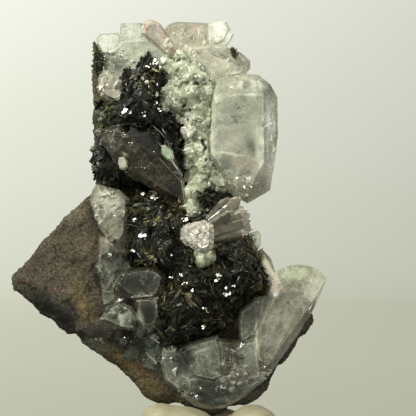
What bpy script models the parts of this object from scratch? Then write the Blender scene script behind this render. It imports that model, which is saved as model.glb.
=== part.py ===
# Harlequin quartz: a cabinet specimen of clear quartz, epidote and prehnite on brown rock,
# held upright in a lump of display putty.
#
# Outlines are (x, z) in millimetres, seen from the front: x to the right, z up from the table.
# Depths are y in millimetres, and more negative is nearer the front.

import math
import random

import bmesh
import bpy
from mathutils import Quaternion, Vector, noise

# Driving dimensions, in millimetres
SPECIMEN_LEFT = -36.8
SPECIMEN_TOP = 98.1
ROCK_FRONT = -3.0
ROCK_BACK = 15.5
UPPER_ROCK_BACK = 12.5
FLECKED_FRONT = -18.0
PUTTY_MIDDLE = 9.5
PUTTY_WIDTH = 37.0
PUTTY_DEPTH = 30.0
PUTTY_TOP = 11.5
GAP = 0.32  # between pieces that have grown against each other
BLADE_WIDTHS = (0.9, 1.6)
BLADE_THICK = 0.6
BLADES_APART = 2.8
LUMP_RADII = (1.5, 2.4)
LUMPS_APART = 2.1

# How fine the natural surfaces are: their grid in millimetres, and about how many facets stay
ROCK_GRID = 1.2
ROCK_FACETS = 1400
CRUST_GRID = 0.55
CRUST_FACETS = 1100
MOUND_GRID = 1.1
MOUND_FACETS = 300
CRUST_SHARE = 0.65  # of the facets, kept after a crust is cut to its neighbours
EPIDOTE_SHARE = 0.6

SEED = 20
MM = 0.001
MERGE = 0.000001
FLAT = math.radians(0.6)


# Making and joining solids


def clear_scene():
    for thing in list(bpy.data.objects):
        bpy.data.objects.remove(thing, do_unlink=True)


def new_object(name, bm):
    mesh = bpy.data.meshes.new(name)
    bm.to_mesh(mesh)
    bm.free()
    thing = bpy.data.objects.new(name, mesh)
    bpy.context.scene.collection.objects.link(thing)
    return thing


def hull(corners):
    """The smallest flat-faced solid round the corners."""
    bm = bmesh.new()
    for x, y, z in corners:
        bm.verts.new((x * MM, y * MM, z * MM))
    made = bmesh.ops.convex_hull(bm, input=bm.verts)
    unused = [part for part in made["geom_interior"] if isinstance(part, bmesh.types.BMVert)]
    bmesh.ops.delete(bm, geom=unused, context="VERTS")
    bmesh.ops.dissolve_limit(bm, angle_limit=FLAT, verts=bm.verts, edges=bm.edges)
    bmesh.ops.triangulate(bm, faces=bm.faces)
    bmesh.ops.recalc_face_normals(bm, faces=bm.faces)
    return new_object("hull", bm)


def middle_of(outline):
    count = len(outline)
    return sum(x for x, _ in outline) / count, sum(z for _, z in outline) / count


def ring(outline, depth, scale, lean):
    """The outline's corners at a depth, drawn in to their middle; lean tilts the depth in x and z."""
    middle_x, middle_z = middle_of(outline)
    corners = []
    for x, z in outline:
        away_x, away_z = (x - middle_x) * scale, (z - middle_z) * scale
        depth_here = depth + away_x * lean[0] + away_z * lean[1]
        corners.append((middle_x + away_x, depth_here, middle_z + away_z))
    return corners


def table_crystal(outline, front, back, inset=0.74, lean=(0.0, 0.0), belt=0.28):
    """A thick flat crystal: a smaller front face, a full belt, and a smaller back face."""
    thick = back - front
    corners = ring(outline, front, inset, lean)
    corners += ring(outline, front + thick * belt, 1.0, lean)
    corners += ring(outline, back - thick * belt, 1.0, lean)
    corners += ring(outline, back, inset, lean)
    return hull(corners)


def prism_crystal(base, tip, width, thick, turn=0.0, point=0.28):
    """A six-sided prism from base to tip, closed by a slightly lopsided six-faced point."""
    start, end = Vector(base), Vector(tip)
    along = (end - start).normalized()
    side = along.cross(Vector((0.0, 1.0, 0.0))).normalized()
    out = side.cross(along).normalized()
    shoulder = end - along * (end - start).length * point
    corners = []
    for step in range(6):
        angle = math.radians(60 * step + turn)
        away = side * (math.cos(angle) * width / 2) + out * (math.sin(angle) * thick / 2)
        corners.append(start + away)
        corners.append(shoulder + away * 0.94 + along * (0.5 if step % 2 else -0.4))
    for part in (-0.12, 0.12):
        corners.append(end + side * width * part)
    return hull(corners)


def combine(target, other, operation):
    """Boolean of target with other, which is used up."""
    step = target.modifiers.new(operation, "BOOLEAN")
    step.operation = operation
    step.solver = "EXACT"
    step.object = other
    step.use_self = operation == "DIFFERENCE"
    apply_modifiers(target)
    bpy.data.objects.remove(other, do_unlink=True)


def union(name, things):
    first = things[0]
    for other in things[1:]:
        combine(first, other, "UNION")
    first.name = name
    return first


def grown(thing, gap):
    """A copy of a solid with every face moved out by the gap."""
    bm = bmesh.new()
    bm.from_mesh(thing.data)
    bm.normal_update()
    moves = [vert.normal * gap * MM * min(vert.calc_shell_factor(), 2.0) for vert in bm.verts]
    for vert, move in zip(bm.verts, moves):
        vert.co += move
    return new_object("cutter", bm)


def volume_of(faces):
    total = 0.0
    for face in faces:
        a, b, c = (vert.co for vert in face.verts)
        total += a.dot(b.cross(c)) / 6
    return total


def keep_largest(thing):
    """Drops loose chips, and keeps the one body with the most volume."""
    bm = bmesh.new()
    bm.from_mesh(thing.data)
    bmesh.ops.remove_doubles(bm, verts=bm.verts, dist=MERGE)
    bmesh.ops.dissolve_degenerate(bm, dist=MERGE, edges=bm.edges)
    bmesh.ops.triangulate(bm, faces=bm.faces)
    left = set(bm.faces)
    bodies = []
    while left:
        body, todo = [], [left.pop()]
        while todo:
            face = todo.pop()
            body.append(face)
            for edge in face.edges:
                for near in edge.link_faces:
                    if near in left:
                        left.remove(near)
                        todo.append(near)
        bodies.append(body)
    bodies.sort(key=volume_of, reverse=True)
    chips = [face for body in bodies[1:] for face in body]
    bmesh.ops.delete(bm, geom=chips, context="FACES")
    bm.to_mesh(thing.data)
    bm.free()


def box_of(thing):
    points = [vert.co for vert in thing.data.vertices]
    low = [min(point[i] for point in points) for i in range(3)]
    high = [max(point[i] for point in points) for i in range(3)]
    return low, high


def fewer_facets(thing, share):
    """Merges the smallest facets, and moves no surface by more than a small part of the gap."""
    fewer = thing.modifiers.new("fewer", "DECIMATE")
    fewer.ratio = share
    fewer.use_collapse_triangulate = True
    apply_modifiers(thing)


def near_each_other(one, two):
    (low_a, high_a), (low_b, high_b) = box_of(one), box_of(two)
    room = GAP * MM
    return all(low_a[i] - room < high_b[i] and low_b[i] - room < high_a[i] for i in range(3))


def fit_against(thing, neighbours):
    """Cuts away what a neighbour already fills, with the gap left between them."""
    for near in neighbours:
        if near_each_other(thing, near):
            combine(thing, grown(near, GAP), "DIFFERENCE")
    keep_largest(thing)


# Natural surfaces


def apply_modifiers(thing):
    graph = bpy.context.evaluated_depsgraph_get()
    mesh = bpy.data.meshes.new_from_object(thing.evaluated_get(graph))
    thing.modifiers.clear()
    thing.data = mesh


def weather(thing, grid, amount, grain, seed, faces):
    """Gives a solid an even skin, moves it by smooth noise, and keeps about so many facets."""
    skin = thing.modifiers.new("skin", "REMESH")
    skin.mode = "VOXEL"
    skin.voxel_size = grid * MM
    apply_modifiers(thing)
    shift = Vector((seed * 7.1, seed * 3.7, seed * 5.3))
    points = [(vert.co.copy(), vert.normal.copy()) for vert in thing.data.vertices]
    for vert, (place, normal) in zip(thing.data.vertices, points):
        level = noise.noise(place / (grain * MM) + shift)
        level += 0.5 * noise.noise(place / (grain * MM) * 2.3 - shift)
        vert.co = place + normal * level * amount * MM
    fewer = thing.modifiers.new("fewer", "DECIMATE")
    fewer.ratio = faces / (2 * len(thing.data.polygons))
    fewer.use_collapse_triangulate = True
    apply_modifiers(thing)


def mound(outline, back, side, front):
    """A lump: the outline as a wall from back to side, domed up to front over its middle."""
    middle_x, middle_z = middle_of(outline)
    levels = [(1.0, back), (1.0, side)]
    for scale in (0.82, 0.55, 0.25):
        levels.append((scale, side + (front - side) * math.sqrt(1 - scale**2)))
    bm = bmesh.new()
    rings = []
    for scale, depth in levels:
        corners = []
        for x, z in outline:
            here_x, here_z = middle_x + (x - middle_x) * scale, middle_z + (z - middle_z) * scale
            corners.append(bm.verts.new((here_x * MM, depth * MM, here_z * MM)))
        rings.append(corners)
    count = len(outline)
    for low, high in zip(rings, rings[1:]):
        for i in range(count):
            j = (i + 1) % count
            bm.faces.new((low[i], low[j], high[j], high[i]))
    bm.faces.new(rings[0])
    bm.faces.new(rings[-1])
    bmesh.ops.recalc_face_normals(bm, faces=bm.faces)
    return new_object("mound", bm)


def ball(middle, radius, squash=(1.0, 1.0, 1.0)):
    bm = bmesh.new()
    bmesh.ops.create_icosphere(bm, subdivisions=2, radius=radius * MM)
    for vert in bm.verts:
        vert.co = Vector([vert.co[i] * squash[i] + middle[i] * MM for i in range(3)])
    return new_object("ball", bm)


def is_inside(outline, x, z):
    hit = False
    for (x1, z1), (x2, z2) in zip(outline, outline[1:] + outline[:1]):
        if (z1 > z) != (z2 > z) and x < (x2 - x1) * (z - z1) / (z2 - z1) + x1:
            hit = not hit
    return hit


def scattered(outline, count, apart, dice):
    """Places inside an outline, no two nearer than apart."""
    xs, zs = [x for x, _ in outline], [z for _, z in outline]
    places = []
    for _ in range(count * 60):
        x, z = dice.uniform(min(xs), max(xs)), dice.uniform(min(zs), max(zs))
        clear = all(math.hypot(x - px, z - pz) > apart for px, pz in places)
        if clear and is_inside(outline, x, z):
            places.append((x, z))
        if len(places) == count:
            break
    return places


def blade(foot, way, length, width, thick, turn):
    """One flat blade of epidote, narrower at its chisel tip and rooted below its foot."""
    start = Vector(foot)
    along = Vector(way).normalized()
    side = along.orthogonal().normalized()
    side.rotate(Quaternion(along, turn))
    out = along.cross(side)
    corners = []
    for at, wide, deep in ((-0.35, 1.0, 1.0), (0.8, 0.9, 0.9), (1.0, 0.35, 0.8)):
        for across in (-0.5, 0.5):
            for down in (-0.5, 0.5):
                centre = start + along * length * at
                corners.append(centre + side * width * wide * across + out * thick * deep * down)
    return hull(corners)


def dome_depth(outline, side, front, x, z):
    """How far forward a mound of this outline stands at x, z."""
    middle_x, middle_z = middle_of(outline)
    reach = 1.0
    while reach > 0.05 and is_inside(
        outline, middle_x + (x - middle_x) / reach, middle_z + (z - middle_z) / reach
    ):
        reach -= 0.05
    reach = min(reach + 0.05, 1.0)
    return side + (front - side) * math.sqrt(1 - reach**2)


def bladed_mass(name, outline, back, side, front, count, length, dice):
    """An epidote mass: a rough mound with flat blades standing out of it in all directions."""
    body = mound(outline, back, side, front)
    weather(body, MOUND_GRID, amount=0.8, grain=4.0, seed=11, faces=MOUND_FACETS)
    middle_x, middle_z = middle_of(outline)
    for x, z in scattered(outline, count, BLADES_APART, dice):
        depth = dome_depth(outline, side, front, x, z)
        root_x, root_z = middle_x + (x - middle_x) * 0.9, middle_z + (z - middle_z) * 0.9
        way = (dice.uniform(-0.8, 0.8), dice.uniform(-1.0, -0.4), dice.uniform(-0.8, 0.8))
        long = length * dice.uniform(0.7, 1.15)
        wide = dice.uniform(*BLADE_WIDTHS)
        turn = dice.uniform(0, math.pi)
        one = blade((root_x, depth + 0.6, root_z), way, long, wide, BLADE_THICK, turn)
        combine(body, one, "UNION")
    body.name = name
    return body


# Materials


def finish(thing, colour, roughness, alpha=1.0):
    """Gives a piece its own plain material, from its colour, roughness and clearness."""
    material = bpy.data.materials.new(thing.name)
    material.use_nodes = True
    shader = material.node_tree.nodes["Principled BSDF"]
    shader.inputs["Base Color"].default_value = (*colour, 1.0)
    shader.inputs["Roughness"].default_value = roughness
    shader.inputs["Metallic"].default_value = 0.0
    shader.inputs["Alpha"].default_value = alpha
    thing.data.materials.clear()
    thing.data.materials.append(material)


def finish_quartz(thing):
    finish(thing, (0.62, 0.61, 0.54), 0.08, 0.5)


def finish_rock(thing):
    finish(thing, (0.16, 0.13, 0.10), 0.85)


def finish_epidote(thing):
    finish(thing, (0.018, 0.022, 0.010), 0.25)


def finish_prehnite(thing):
    finish(thing, (0.52, 0.58, 0.42), 0.35)


def finish_putty(thing):
    finish(thing, (0.50, 0.46, 0.37), 0.7)


# The pieces


def ledge(middle_x, middle_z, size):
    """A low four-cornered step on the plain back of the rock."""
    corners = []
    for side, rise, wide in ((-1, -1, 0.8), (1, -1, 1.0), (1, 1, 0.7), (-1, 1, 0.9)):
        for depth in (7.0, UPPER_ROCK_BACK + 1.8 - abs(rise - side) * 0.7):
            corners.append((middle_x + side * size * wide, depth, middle_z + rise * size * 0.6))
    return hull(corners)


def matrix_rock():
    """Brown rock: an upright wall, the wedge at the left, the foot, and an arm to the right."""
    wall = hull(
        [
            (-17.3, 1.5, 86.8),
            (-16.9, 0.5, 75.0),
            (-16.0, -1.0, 60.0),
            (8.5, 1.0, 58.0),
            (9.0, 2.0, 84.0),
            (-1.0, 2.0, 88.0),
            (-15.5, 10.5, 85.0),
            (-14.5, UPPER_ROCK_BACK, 72.0),
            (-14.0, UPPER_ROCK_BACK + 1.5, 58.0),
            (6.0, UPPER_ROCK_BACK + 1.5, 57.0),
            (7.5, UPPER_ROCK_BACK - 1.0, 82.0),
            (-3.0, UPPER_ROCK_BACK - 0.5, 86.5),
        ]
    )
    wedge = hull(
        [
            (-16.0, ROCK_FRONT - 1.0, 61.0),
            (-19.6, ROCK_FRONT - 0.5, 57.2),
            (-24.0, ROCK_FRONT, 52.6),
            (-28.6, -1.0, 47.6),
            (-34.5, 2.0, 41.6),
            (SPECIMEN_LEFT, 3.2, 38.8),
            (-33.0, 1.2, 39.4),
            (-27.5, -1.6, 37.2),
            (-23.4, ROCK_FRONT, 35.8),
            (-18.6, ROCK_FRONT - 2.0, 30.2),
            (-9.0, ROCK_FRONT - 1.0, 30.0),
            (-9.0, ROCK_FRONT - 1.0, 60.0),
            (-31.0, 5.0, 35.6),
            (-27.0, 5.5, 31.3),
            (-23.2, 6.0, 27.4),
            (-30.0, 9.5, 42.0),
            (-21.0, 13.5, 53.0),
            (-14.0, 14.5, 58.0),
            (-23.0, 12.0, 32.0),
            (-11.0, ROCK_BACK, 26.0),
        ]
    )
    foot = hull(
        [
            (-15.0, ROCK_FRONT, 58.0),
            (8.0, -1.0, 58.5),
            (14.6, 0.0, 54.0),
            (18.8, 1.0, 48.6),
            (21.6, 1.0, 43.5),
            (22.5, 1.0, 37.0),
            (-20.0, ROCK_FRONT, 28.0),
            (-19.2, 5.0, 25.6),
            (-15.6, 1.0, 25.0),
            (-10.4, 0.5, 21.2),
            (-6.0, 1.0, 17.6),
            (-2.6, 1.5, 14.0),
            (-1.0, 1.0, 12.2),
            (10.5, 1.0, 8.9),
            (20.4, 2.0, 11.9),
            (24.0, 3.0, 16.0),
            (26.4, 3.5, 21.6),
            (-14.0, ROCK_BACK - 1.0, 56.0),
            (6.0, ROCK_BACK - 2.0, 57.5),
            (17.0, ROCK_BACK - 4.0, 46.0),
            (19.0, ROCK_BACK - 3.0, 30.0),
            (-14.0, ROCK_BACK - 0.5, 28.0),
            (-2.0, ROCK_BACK - 1.5, 15.5),
            (14.0, ROCK_BACK - 3.0, 14.0),
            (2.0, ROCK_BACK, 40.0),
        ]
    )
    arm = hull(
        [
            (16.0, 1.5, 36.5),
            (28.5, 3.0, 33.5),
            (33.5, 3.8, 33.2),
            (34.0, 5.0, 30.8),
            (33.4, 4.6, 28.8),
            (31.4, 4.4, 26.8),
            (27.6, 3.6, 21.8),
            (20.0, 2.0, 16.0),
            (15.0, 2.0, 22.0),
            (17.0, 11.0, 35.0),
            (27.0, 10.0, 31.0),
            (24.0, 10.5, 24.0),
            (16.0, 11.5, 20.0),
        ]
    )
    step = hull(
        [
            (-21.0, -4.5, 28.6),
            (-18.0, -5.5, 29.8),
            (-10.5, -5.5, 29.5),
            (-9.5, -5.0, 25.5),
            (-14.5, -5.0, 25.3),
            (-20.0, -3.0, 26.5),
            (-20.0, 2.0, 29.0),
            (-9.0, 2.0, 29.0),
            (-9.0, 2.0, 24.5),
            (-19.0, 2.0, 25.0),
        ]
    )
    rock = union("matrix_rock", [foot, wedge, wall, arm, step])
    for x, z, size in ((-6.0, 48.0, 9.0), (8.0, 36.0, 8.0), (-18.0, 42.0, 7.0), (0.0, 72.0, 8.0)):
        combine(rock, ledge(x, z, size), "UNION")
    weather(rock, ROCK_GRID, amount=0.6, grain=4.5, seed=3, faces=ROCK_FACETS)
    keep_largest(rock)
    return rock


def upper_quartz():
    """Clear quartz at the top: the big table crystal, the crystals along the crest and the
    milky body that they share."""
    pane = [(11, 79), (13, 80.4), (16.4, 81.1), (21.6, 81.4), (21.6, 66), (19, 61)]
    pane += [(14, 62.5), (10, 68)]
    rim = [(9.5, 85.5), (13, 86.2), (20.5, 85.7), (21.6, 84.8), (23.2, 83.5), (24.8, 80.6)]
    rim += [(24.8, 72.2), (24.2, 67), (23.2, 59.9), (18.2, 56.9), (13.7, 59.4), (9.2, 64.4), (9, 80)]
    table = hull(
        [(x, -9.0, z) for x, z in pane]
        + [(x, -3.5, z) for x, z in rim]
        + [(x, 6.0, z) for x, z in rim]
        + ring(rim, 10.5, 0.72, (0.0, 0.0))
    )
    crest = [(2, 92.5), (12, 92.6), (16.5, 90.8), (18.7, 89), (18.7, 87.4), (17.4, 85.5)]
    crest += [(8, 83.5), (2.5, 86)]
    sparkling = [(-0.5, 96.4), (0.7, 97.2), (2, 97.7), (4, 97.1), (9.2, 97.4), (9.6, 90.5), (1, 88)]
    bright = [(9, 97.2), (11.5, 97.7), (12.4, SPECIMEN_TOP), (13.3, 97.9), (14.4, 96.1)]
    bright += [(13.1, 93), (9, 91)]
    fin = [(10.5, 93.5), (13.2, 93.6), (15.2, 95.4), (14.4, 93.6), (12.5, 90.5), (9.5, 90)]
    rimmed = [(-5.9, 95), (-5.8, 96.2), (-5.2, 97.3), (-4.3, 97.9), (-3.1, 97.9), (-1.6, 97.2)]
    rimmed += [(-0.4, 95.6), (1.0, 93.6), (2.4, 91.2), (1.5, 88.5), (-2, 91.5), (-4.2, 93.4)]
    cube = [(-15.8, 94.2), (-14.9, 95), (-11, 95.2), (-10.4, 94.3), (-10.4, 90.5), (-14.6, 90.2)]
    cube += [(-15.8, 92.6)]
    pale = [(-10.4, 97.5), (-5.6, 97.6), (-5.4, 93), (-6, 88), (-10.8, 88.5), (-10.9, 93.6)]
    milky = [(-14, 90.8), (-10.5, 93.6), (-5, 94.2), (4, 92.2), (6, 85), (0, 82), (-9, 83)]
    milky += [(-14.2, 86.6)]
    patch = [(-15.5, 84.6), (-14.4, 87.2), (-10.2, 86), (-9, 81.6), (-10.6, 79.2), (-13.3, 80.1)]
    patch += [(-15.4, 82)]
    return union(
        "upper_quartz",
        [
            table,
            table_crystal(crest, -5.0, 6.0, 0.8),
            table_crystal(sparkling, -3.5, 5.0, 0.82),
            table_crystal(bright, -1.5, 4.0, 0.7),
            table_crystal(fin, -0.5, 2.5, 0.8),
            table_crystal(milky, -3.2, 8.0, 0.85),
            table_crystal(rimmed, -6.5, -0.2, 0.68, (0.12, -0.1)),
            table_crystal(cube, -2.8, 4.5, 0.8),
            table_crystal(pale, -1.0, 6.5, 0.86),
            table_crystal(patch, -4.0, 3.0, 0.7),
        ],
    )


def smoky_quartz():
    """A long flat prism of smoky quartz that lies across the upper epidote."""
    outline = [(-14.4, 73.4), (-9.5, 74.7), (-3.8, 75.2), (-1.1, 72.7), (1.4, 69.0), (3.9, 62.0)]
    outline += [(4.5, 56.8), (2.4, 56.2), (-3.4, 60.0), (-7.2, 63.6), (-11.6, 66.0), (-14.6, 70.4)]
    ridge = [(-9.0, -12.0, 71.5), (-4.0, -12.5, 72.0), (-1.6, -12.6, 66.6)]
    ridge += [(3.2, -12.0, 61.6), (3.6, -11.4, 57.6)]
    side = [(x, -9.4, z) for x, z in outline]
    back = ring(outline, -6.0, 0.9, (0.0, 0.0))
    prism = hull(ridge + side + back)
    prism.name = "smoky_quartz"
    return prism


def small_crystals():
    """Two small rounded crystals that sit on the upper face."""
    oval = [(-10.6, 67.1), (-9.4, 67.2), (-8.7, 66.2), (-8.7, 64.9), (-9.4, 64.2), (-10.3, 64.4)]
    oval += [(-10.8, 65.6)]
    green = [(-1.2, 69.7), (-0.3, 69.8), (1.3, 68.6), (1.7, 67.0), (1.2, 66.1), (0.2, 66.4), (-1.1, 67.7)]
    pale = table_crystal(oval, -14.2, -9.0, 0.7)
    pale.name = "pale_crystal"
    tinted = table_crystal(green, -15.0, -9.5, 0.7)
    tinted.name = "green_crystal"
    return pale, tinted


def prehnite_crust(dice):
    """Pale green prehnite: rounded lumps down the seam between epidote and quartz."""
    upper = [(0.2, 88), (2, 89.1), (4.3, 89.4), (6.5, 86.9), (9.4, 85.1), (10, 80.1), (10.4, 74.5)]
    upper += [(9.4, 71), (5.2, 70.4), (4.8, 75.6), (2.5, 76.1), (-1.1, 78.8), (-1.4, 81), (0.6, 83.5)]
    lower = [(5.2, 71.4), (3.8, 67.7), (4.6, 64.5), (5.4, 60), (8, 59.6), (13.2, 61), (13.2, 64)]
    lower += [(9.4, 66), (9.6, 71.4)]
    seam = [mound(upper, back=3.0, side=-5.0, front=-8.5), mound(lower, back=2.0, side=-4.5, front=-8.0)]
    crust = union("crust", seam)
    weather(crust, ROCK_GRID, amount=0.5, grain=4.0, seed=5, faces=MOUND_FACETS)
    places = scattered(upper, 22, LUMPS_APART, dice) + scattered(lower, 11, LUMPS_APART, dice)
    for x, z in places:
        size = dice.uniform(*LUMP_RADII)
        depth = dome_depth(upper if z > 71 else lower, -5.0, -8.4, x, z) + size * 0.35
        combine(crust, ball((x, depth, z), size, (1.0, 0.85, 1.0)), "UNION")
    for x, depth, z, size in ((6.1, -8.6, 59.2, 2.3), (6.6, -9.0, 55.2, 2.4), (5.6, -8.6, 57.0, 1.8)):
        combine(crust, ball((x, depth, z), size, (1.0, 0.8, 1.1)), "UNION")
    weather(crust, CRUST_GRID, amount=0.0, grain=4.0, seed=5, faces=CRUST_FACETS)
    crust.name = "prehnite_crust"
    return crust


def upper_epidote(dice):
    outline = [(-10.2, 86.2), (-8.8, 87.3), (-7.2, 87.8), (-5.9, 89.3), (-4.5, 90), (-3.4, 89.3)]
    outline += [(-0.9, 87.6), (0.2, 85.3), (-0.6, 82), (-0.4, 79), (1.2, 77), (3.1, 75.2)]
    outline += [(3.6, 71), (4.4, 66.6), (5.2, 61.6), (2.5, 57.8), (-3.8, 59.8), (-8.3, 60.8)]
    outline += [(-13.3, 60.8), (-15.6, 61.9), (-16.4, 64.6), (-16.4, 68.4), (-15.4, 72)]
    outline += [(-14.9, 76), (-15, 79.2), (-12.4, 79), (-10, 80.1), (-9.4, 82.8)]
    depths = {"back": 3.0, "side": -3.5, "front": -10.0}
    return bladed_mass("upper_epidote", outline, **depths, count=28, length=4.4, dice=dice)


def lower_epidote(dice):
    outline = [(-10.6, 52.9), (-10.2, 55.4), (-8.3, 57.8), (-6.2, 59.4), (-3.0, 59.4), (0.5, 58.2)]
    outline += [(4.5, 55), (7, 58), (9, 60.2), (13.2, 60.4), (15.2, 57), (17, 53), (18.2, 49.4)]
    outline += [(20.6, 45.6), (22.1, 41.4), (22.6, 38), (19.8, 36.7), (16.6, 34.4), (14.8, 30.6)]
    outline += [(12.6, 28.2), (8.6, 26.1), (4.1, 25), (0, 24.6), (-2.7, 28.4), (-1.8, 31.7)]
    outline += [(-1.1, 35.1), (0.4, 38.6), (0, 41), (-3.8, 42.9), (-8.3, 43.2), (-9, 47.5)]
    outline += [(-9.2, 50.4)]
    depths = {"back": 3.0, "side": -4.5, "front": -13.5}
    return bladed_mass("lower_epidote", outline, **depths, count=42, length=4.8, dice=dice)


def epidote_column(dice):
    """The dark upright tuft of blades on the upper left corner of the rock."""
    outline = [(-16.7, 86.2), (-16.7, 91.6), (-15.9, 92.2), (-15.1, 91.6), (-14.2, 90.4), (-14.1, 88)]
    outline += [(-14.8, 86.2)]
    tuft = table_crystal(outline, -3.2, 2.6, 0.8)
    foot = 89.0
    tips = ((-16.4, -1.6, 93.3), (-15.7, -0.6, 93.2), (-16.0, 0.8, 92.4), (-14.6, -1.8, 91.2))
    for x, depth, top in tips:
        way = (dice.uniform(-0.04, 0.04), 0, 1)
        one = blade((x, depth, foot), way, top - foot, BLADE_WIDTHS[0], BLADE_THICK, turn=0.4)
        combine(tuft, one, "UNION")
    tuft.name = "epidote_column"
    return tuft


def epidote_chip():
    outline = [(14, 91.6), (14.7, 92.1), (15.6, 91.4), (16.2, 89.9), (15.2, 88.9), (14.2, 89.8)]
    chip = table_crystal(outline, -7.2, -3.0, 0.7)
    chip.name = "epidote_chip"
    return chip


def harlequin_quartz():
    """The fan of prisms and the red-flecked crystal at its foot, grown as one."""
    root = (8.0, -8.5, 50.6)
    flecked = [(3.2, 51.3), (4.7, 52.2), (6.2, 52.5), (8.6, 53.1), (10.4, 52), (10.5, 48.6)]
    flecked += [(10.1, 46.8), (9, 45.9), (7.4, 46.4), (6.1, 47.3), (4.3, 47.9), (3.2, 48.9)]
    low = [(8.6, 50), (11, 52.8), (15, 51.5), (15, 49.6), (11, 48)]
    high = [(8.8, 52), (11.5, 55.6), (13, 53), (10, 50)]
    return union(
        "harlequin_quartz",
        [
            table_crystal(low, -12.0, -4.0, 0.85),
            table_crystal(high, -10.5, -4.0, 0.85),
            prism_crystal((9.6, -8.0, 53.0), (16.6, -6.5, 58.3), 2.6, 3.4, 10.0, 0.18),
            prism_crystal((10.2, -9.0, 51.8), (17.2, -8.0, 56.0), 2.3, 3.0, 25.0, 0.16),
            prism_crystal((9.8, -8.8, 50.8), (18.6, -7.5, 54.4), 2.6, 3.4, 0.0, 0.15),
            prism_crystal(root, (18.8, -7.0, 51.6), 4.4, 5.0, 15.0, 0.16),
            table_crystal(flecked, FLECKED_FRONT, -9.0, 0.72, (-0.15, 0.25)),
        ],
    )


def prehnite_button():
    """The pale green lump just under the red-flecked crystal."""
    lump = ball((8.2, -13.6, 44.8), 2.4, (1.0, 1.0, 1.05))
    combine(lump, ball((9.4, -13.0, 44.6), 1.7), "UNION")
    lump.name = "prehnite_button"
    return lump


def green_quartz():
    outline = [(18, 49.9), (20.5, 50.7), (21.1, 49.9), (21.1, 47.5), (20.4, 46.4), (18, 46)]
    crystal = table_crystal(outline, -1.8, 4.5, 0.75)
    crystal.name = "green_quartz"
    return crystal


def lower_left_quartz():
    """Milky quartz beside the wedge, with the grey crystals below it."""
    milky = [(-17.2, 57.6), (-16.6, 59.9), (-15.6, 61.2), (-13.3, 60.4), (-10.6, 59.8), (-8.3, 57.8)]
    milky += [(-9.6, 55), (-10.4, 53.4), (-9.3, 51.2), (-8.9, 48.5), (-10.2, 46.6), (-12, 47)]
    milky += [(-15.2, 51.6)]
    shaded = [(-15.2, 49.6), (-9, 48), (-7.6, 42.4), (-11, 39), (-14.6, 40), (-15.4, 43.8)]
    strip = [(-15.4, 43.6), (-12, 42), (-11.4, 35), (-14.2, 33.4), (-14.6, 38.5)]
    grey = [(-11.8, 38.4), (-10.1, 41.4), (-8.3, 42.3), (-3.8, 42.8), (-1.1, 41.9), (0, 40.7)]
    grey += [(-0.5, 38.5), (-1.6, 36.2), (-3.2, 35.3), (-7.2, 35.1), (-9.5, 36.2)]
    stump = [(-6.9, 36), (-1.7, 36), (-1.5, 31.7), (-2.7, 29.4), (-5, 28.7), (-6.6, 30.6)]
    pale = [(-15.1, 30.8), (-13.3, 33.6), (-10.6, 35), (-7.8, 33.6), (-5.8, 30.6), (-7, 28.3), (-10, 28.6)]
    return union(
        "lower_left_quartz",
        [
            table_crystal(shaded, -6.5, -1.0, 0.84),
            table_crystal(milky, -9.0, -1.5, 0.72, (0.16, 0.05)),
            table_crystal(strip, -5.8, -1.0, 0.84),
            table_crystal(grey, -11.5, -1.5, 0.76, (0.0, 0.12)),
            table_crystal(stump, -8.6, -1.0, 0.78),
            table_crystal(pale, -7.0, -1.0, 0.76),
        ],
    )


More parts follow.
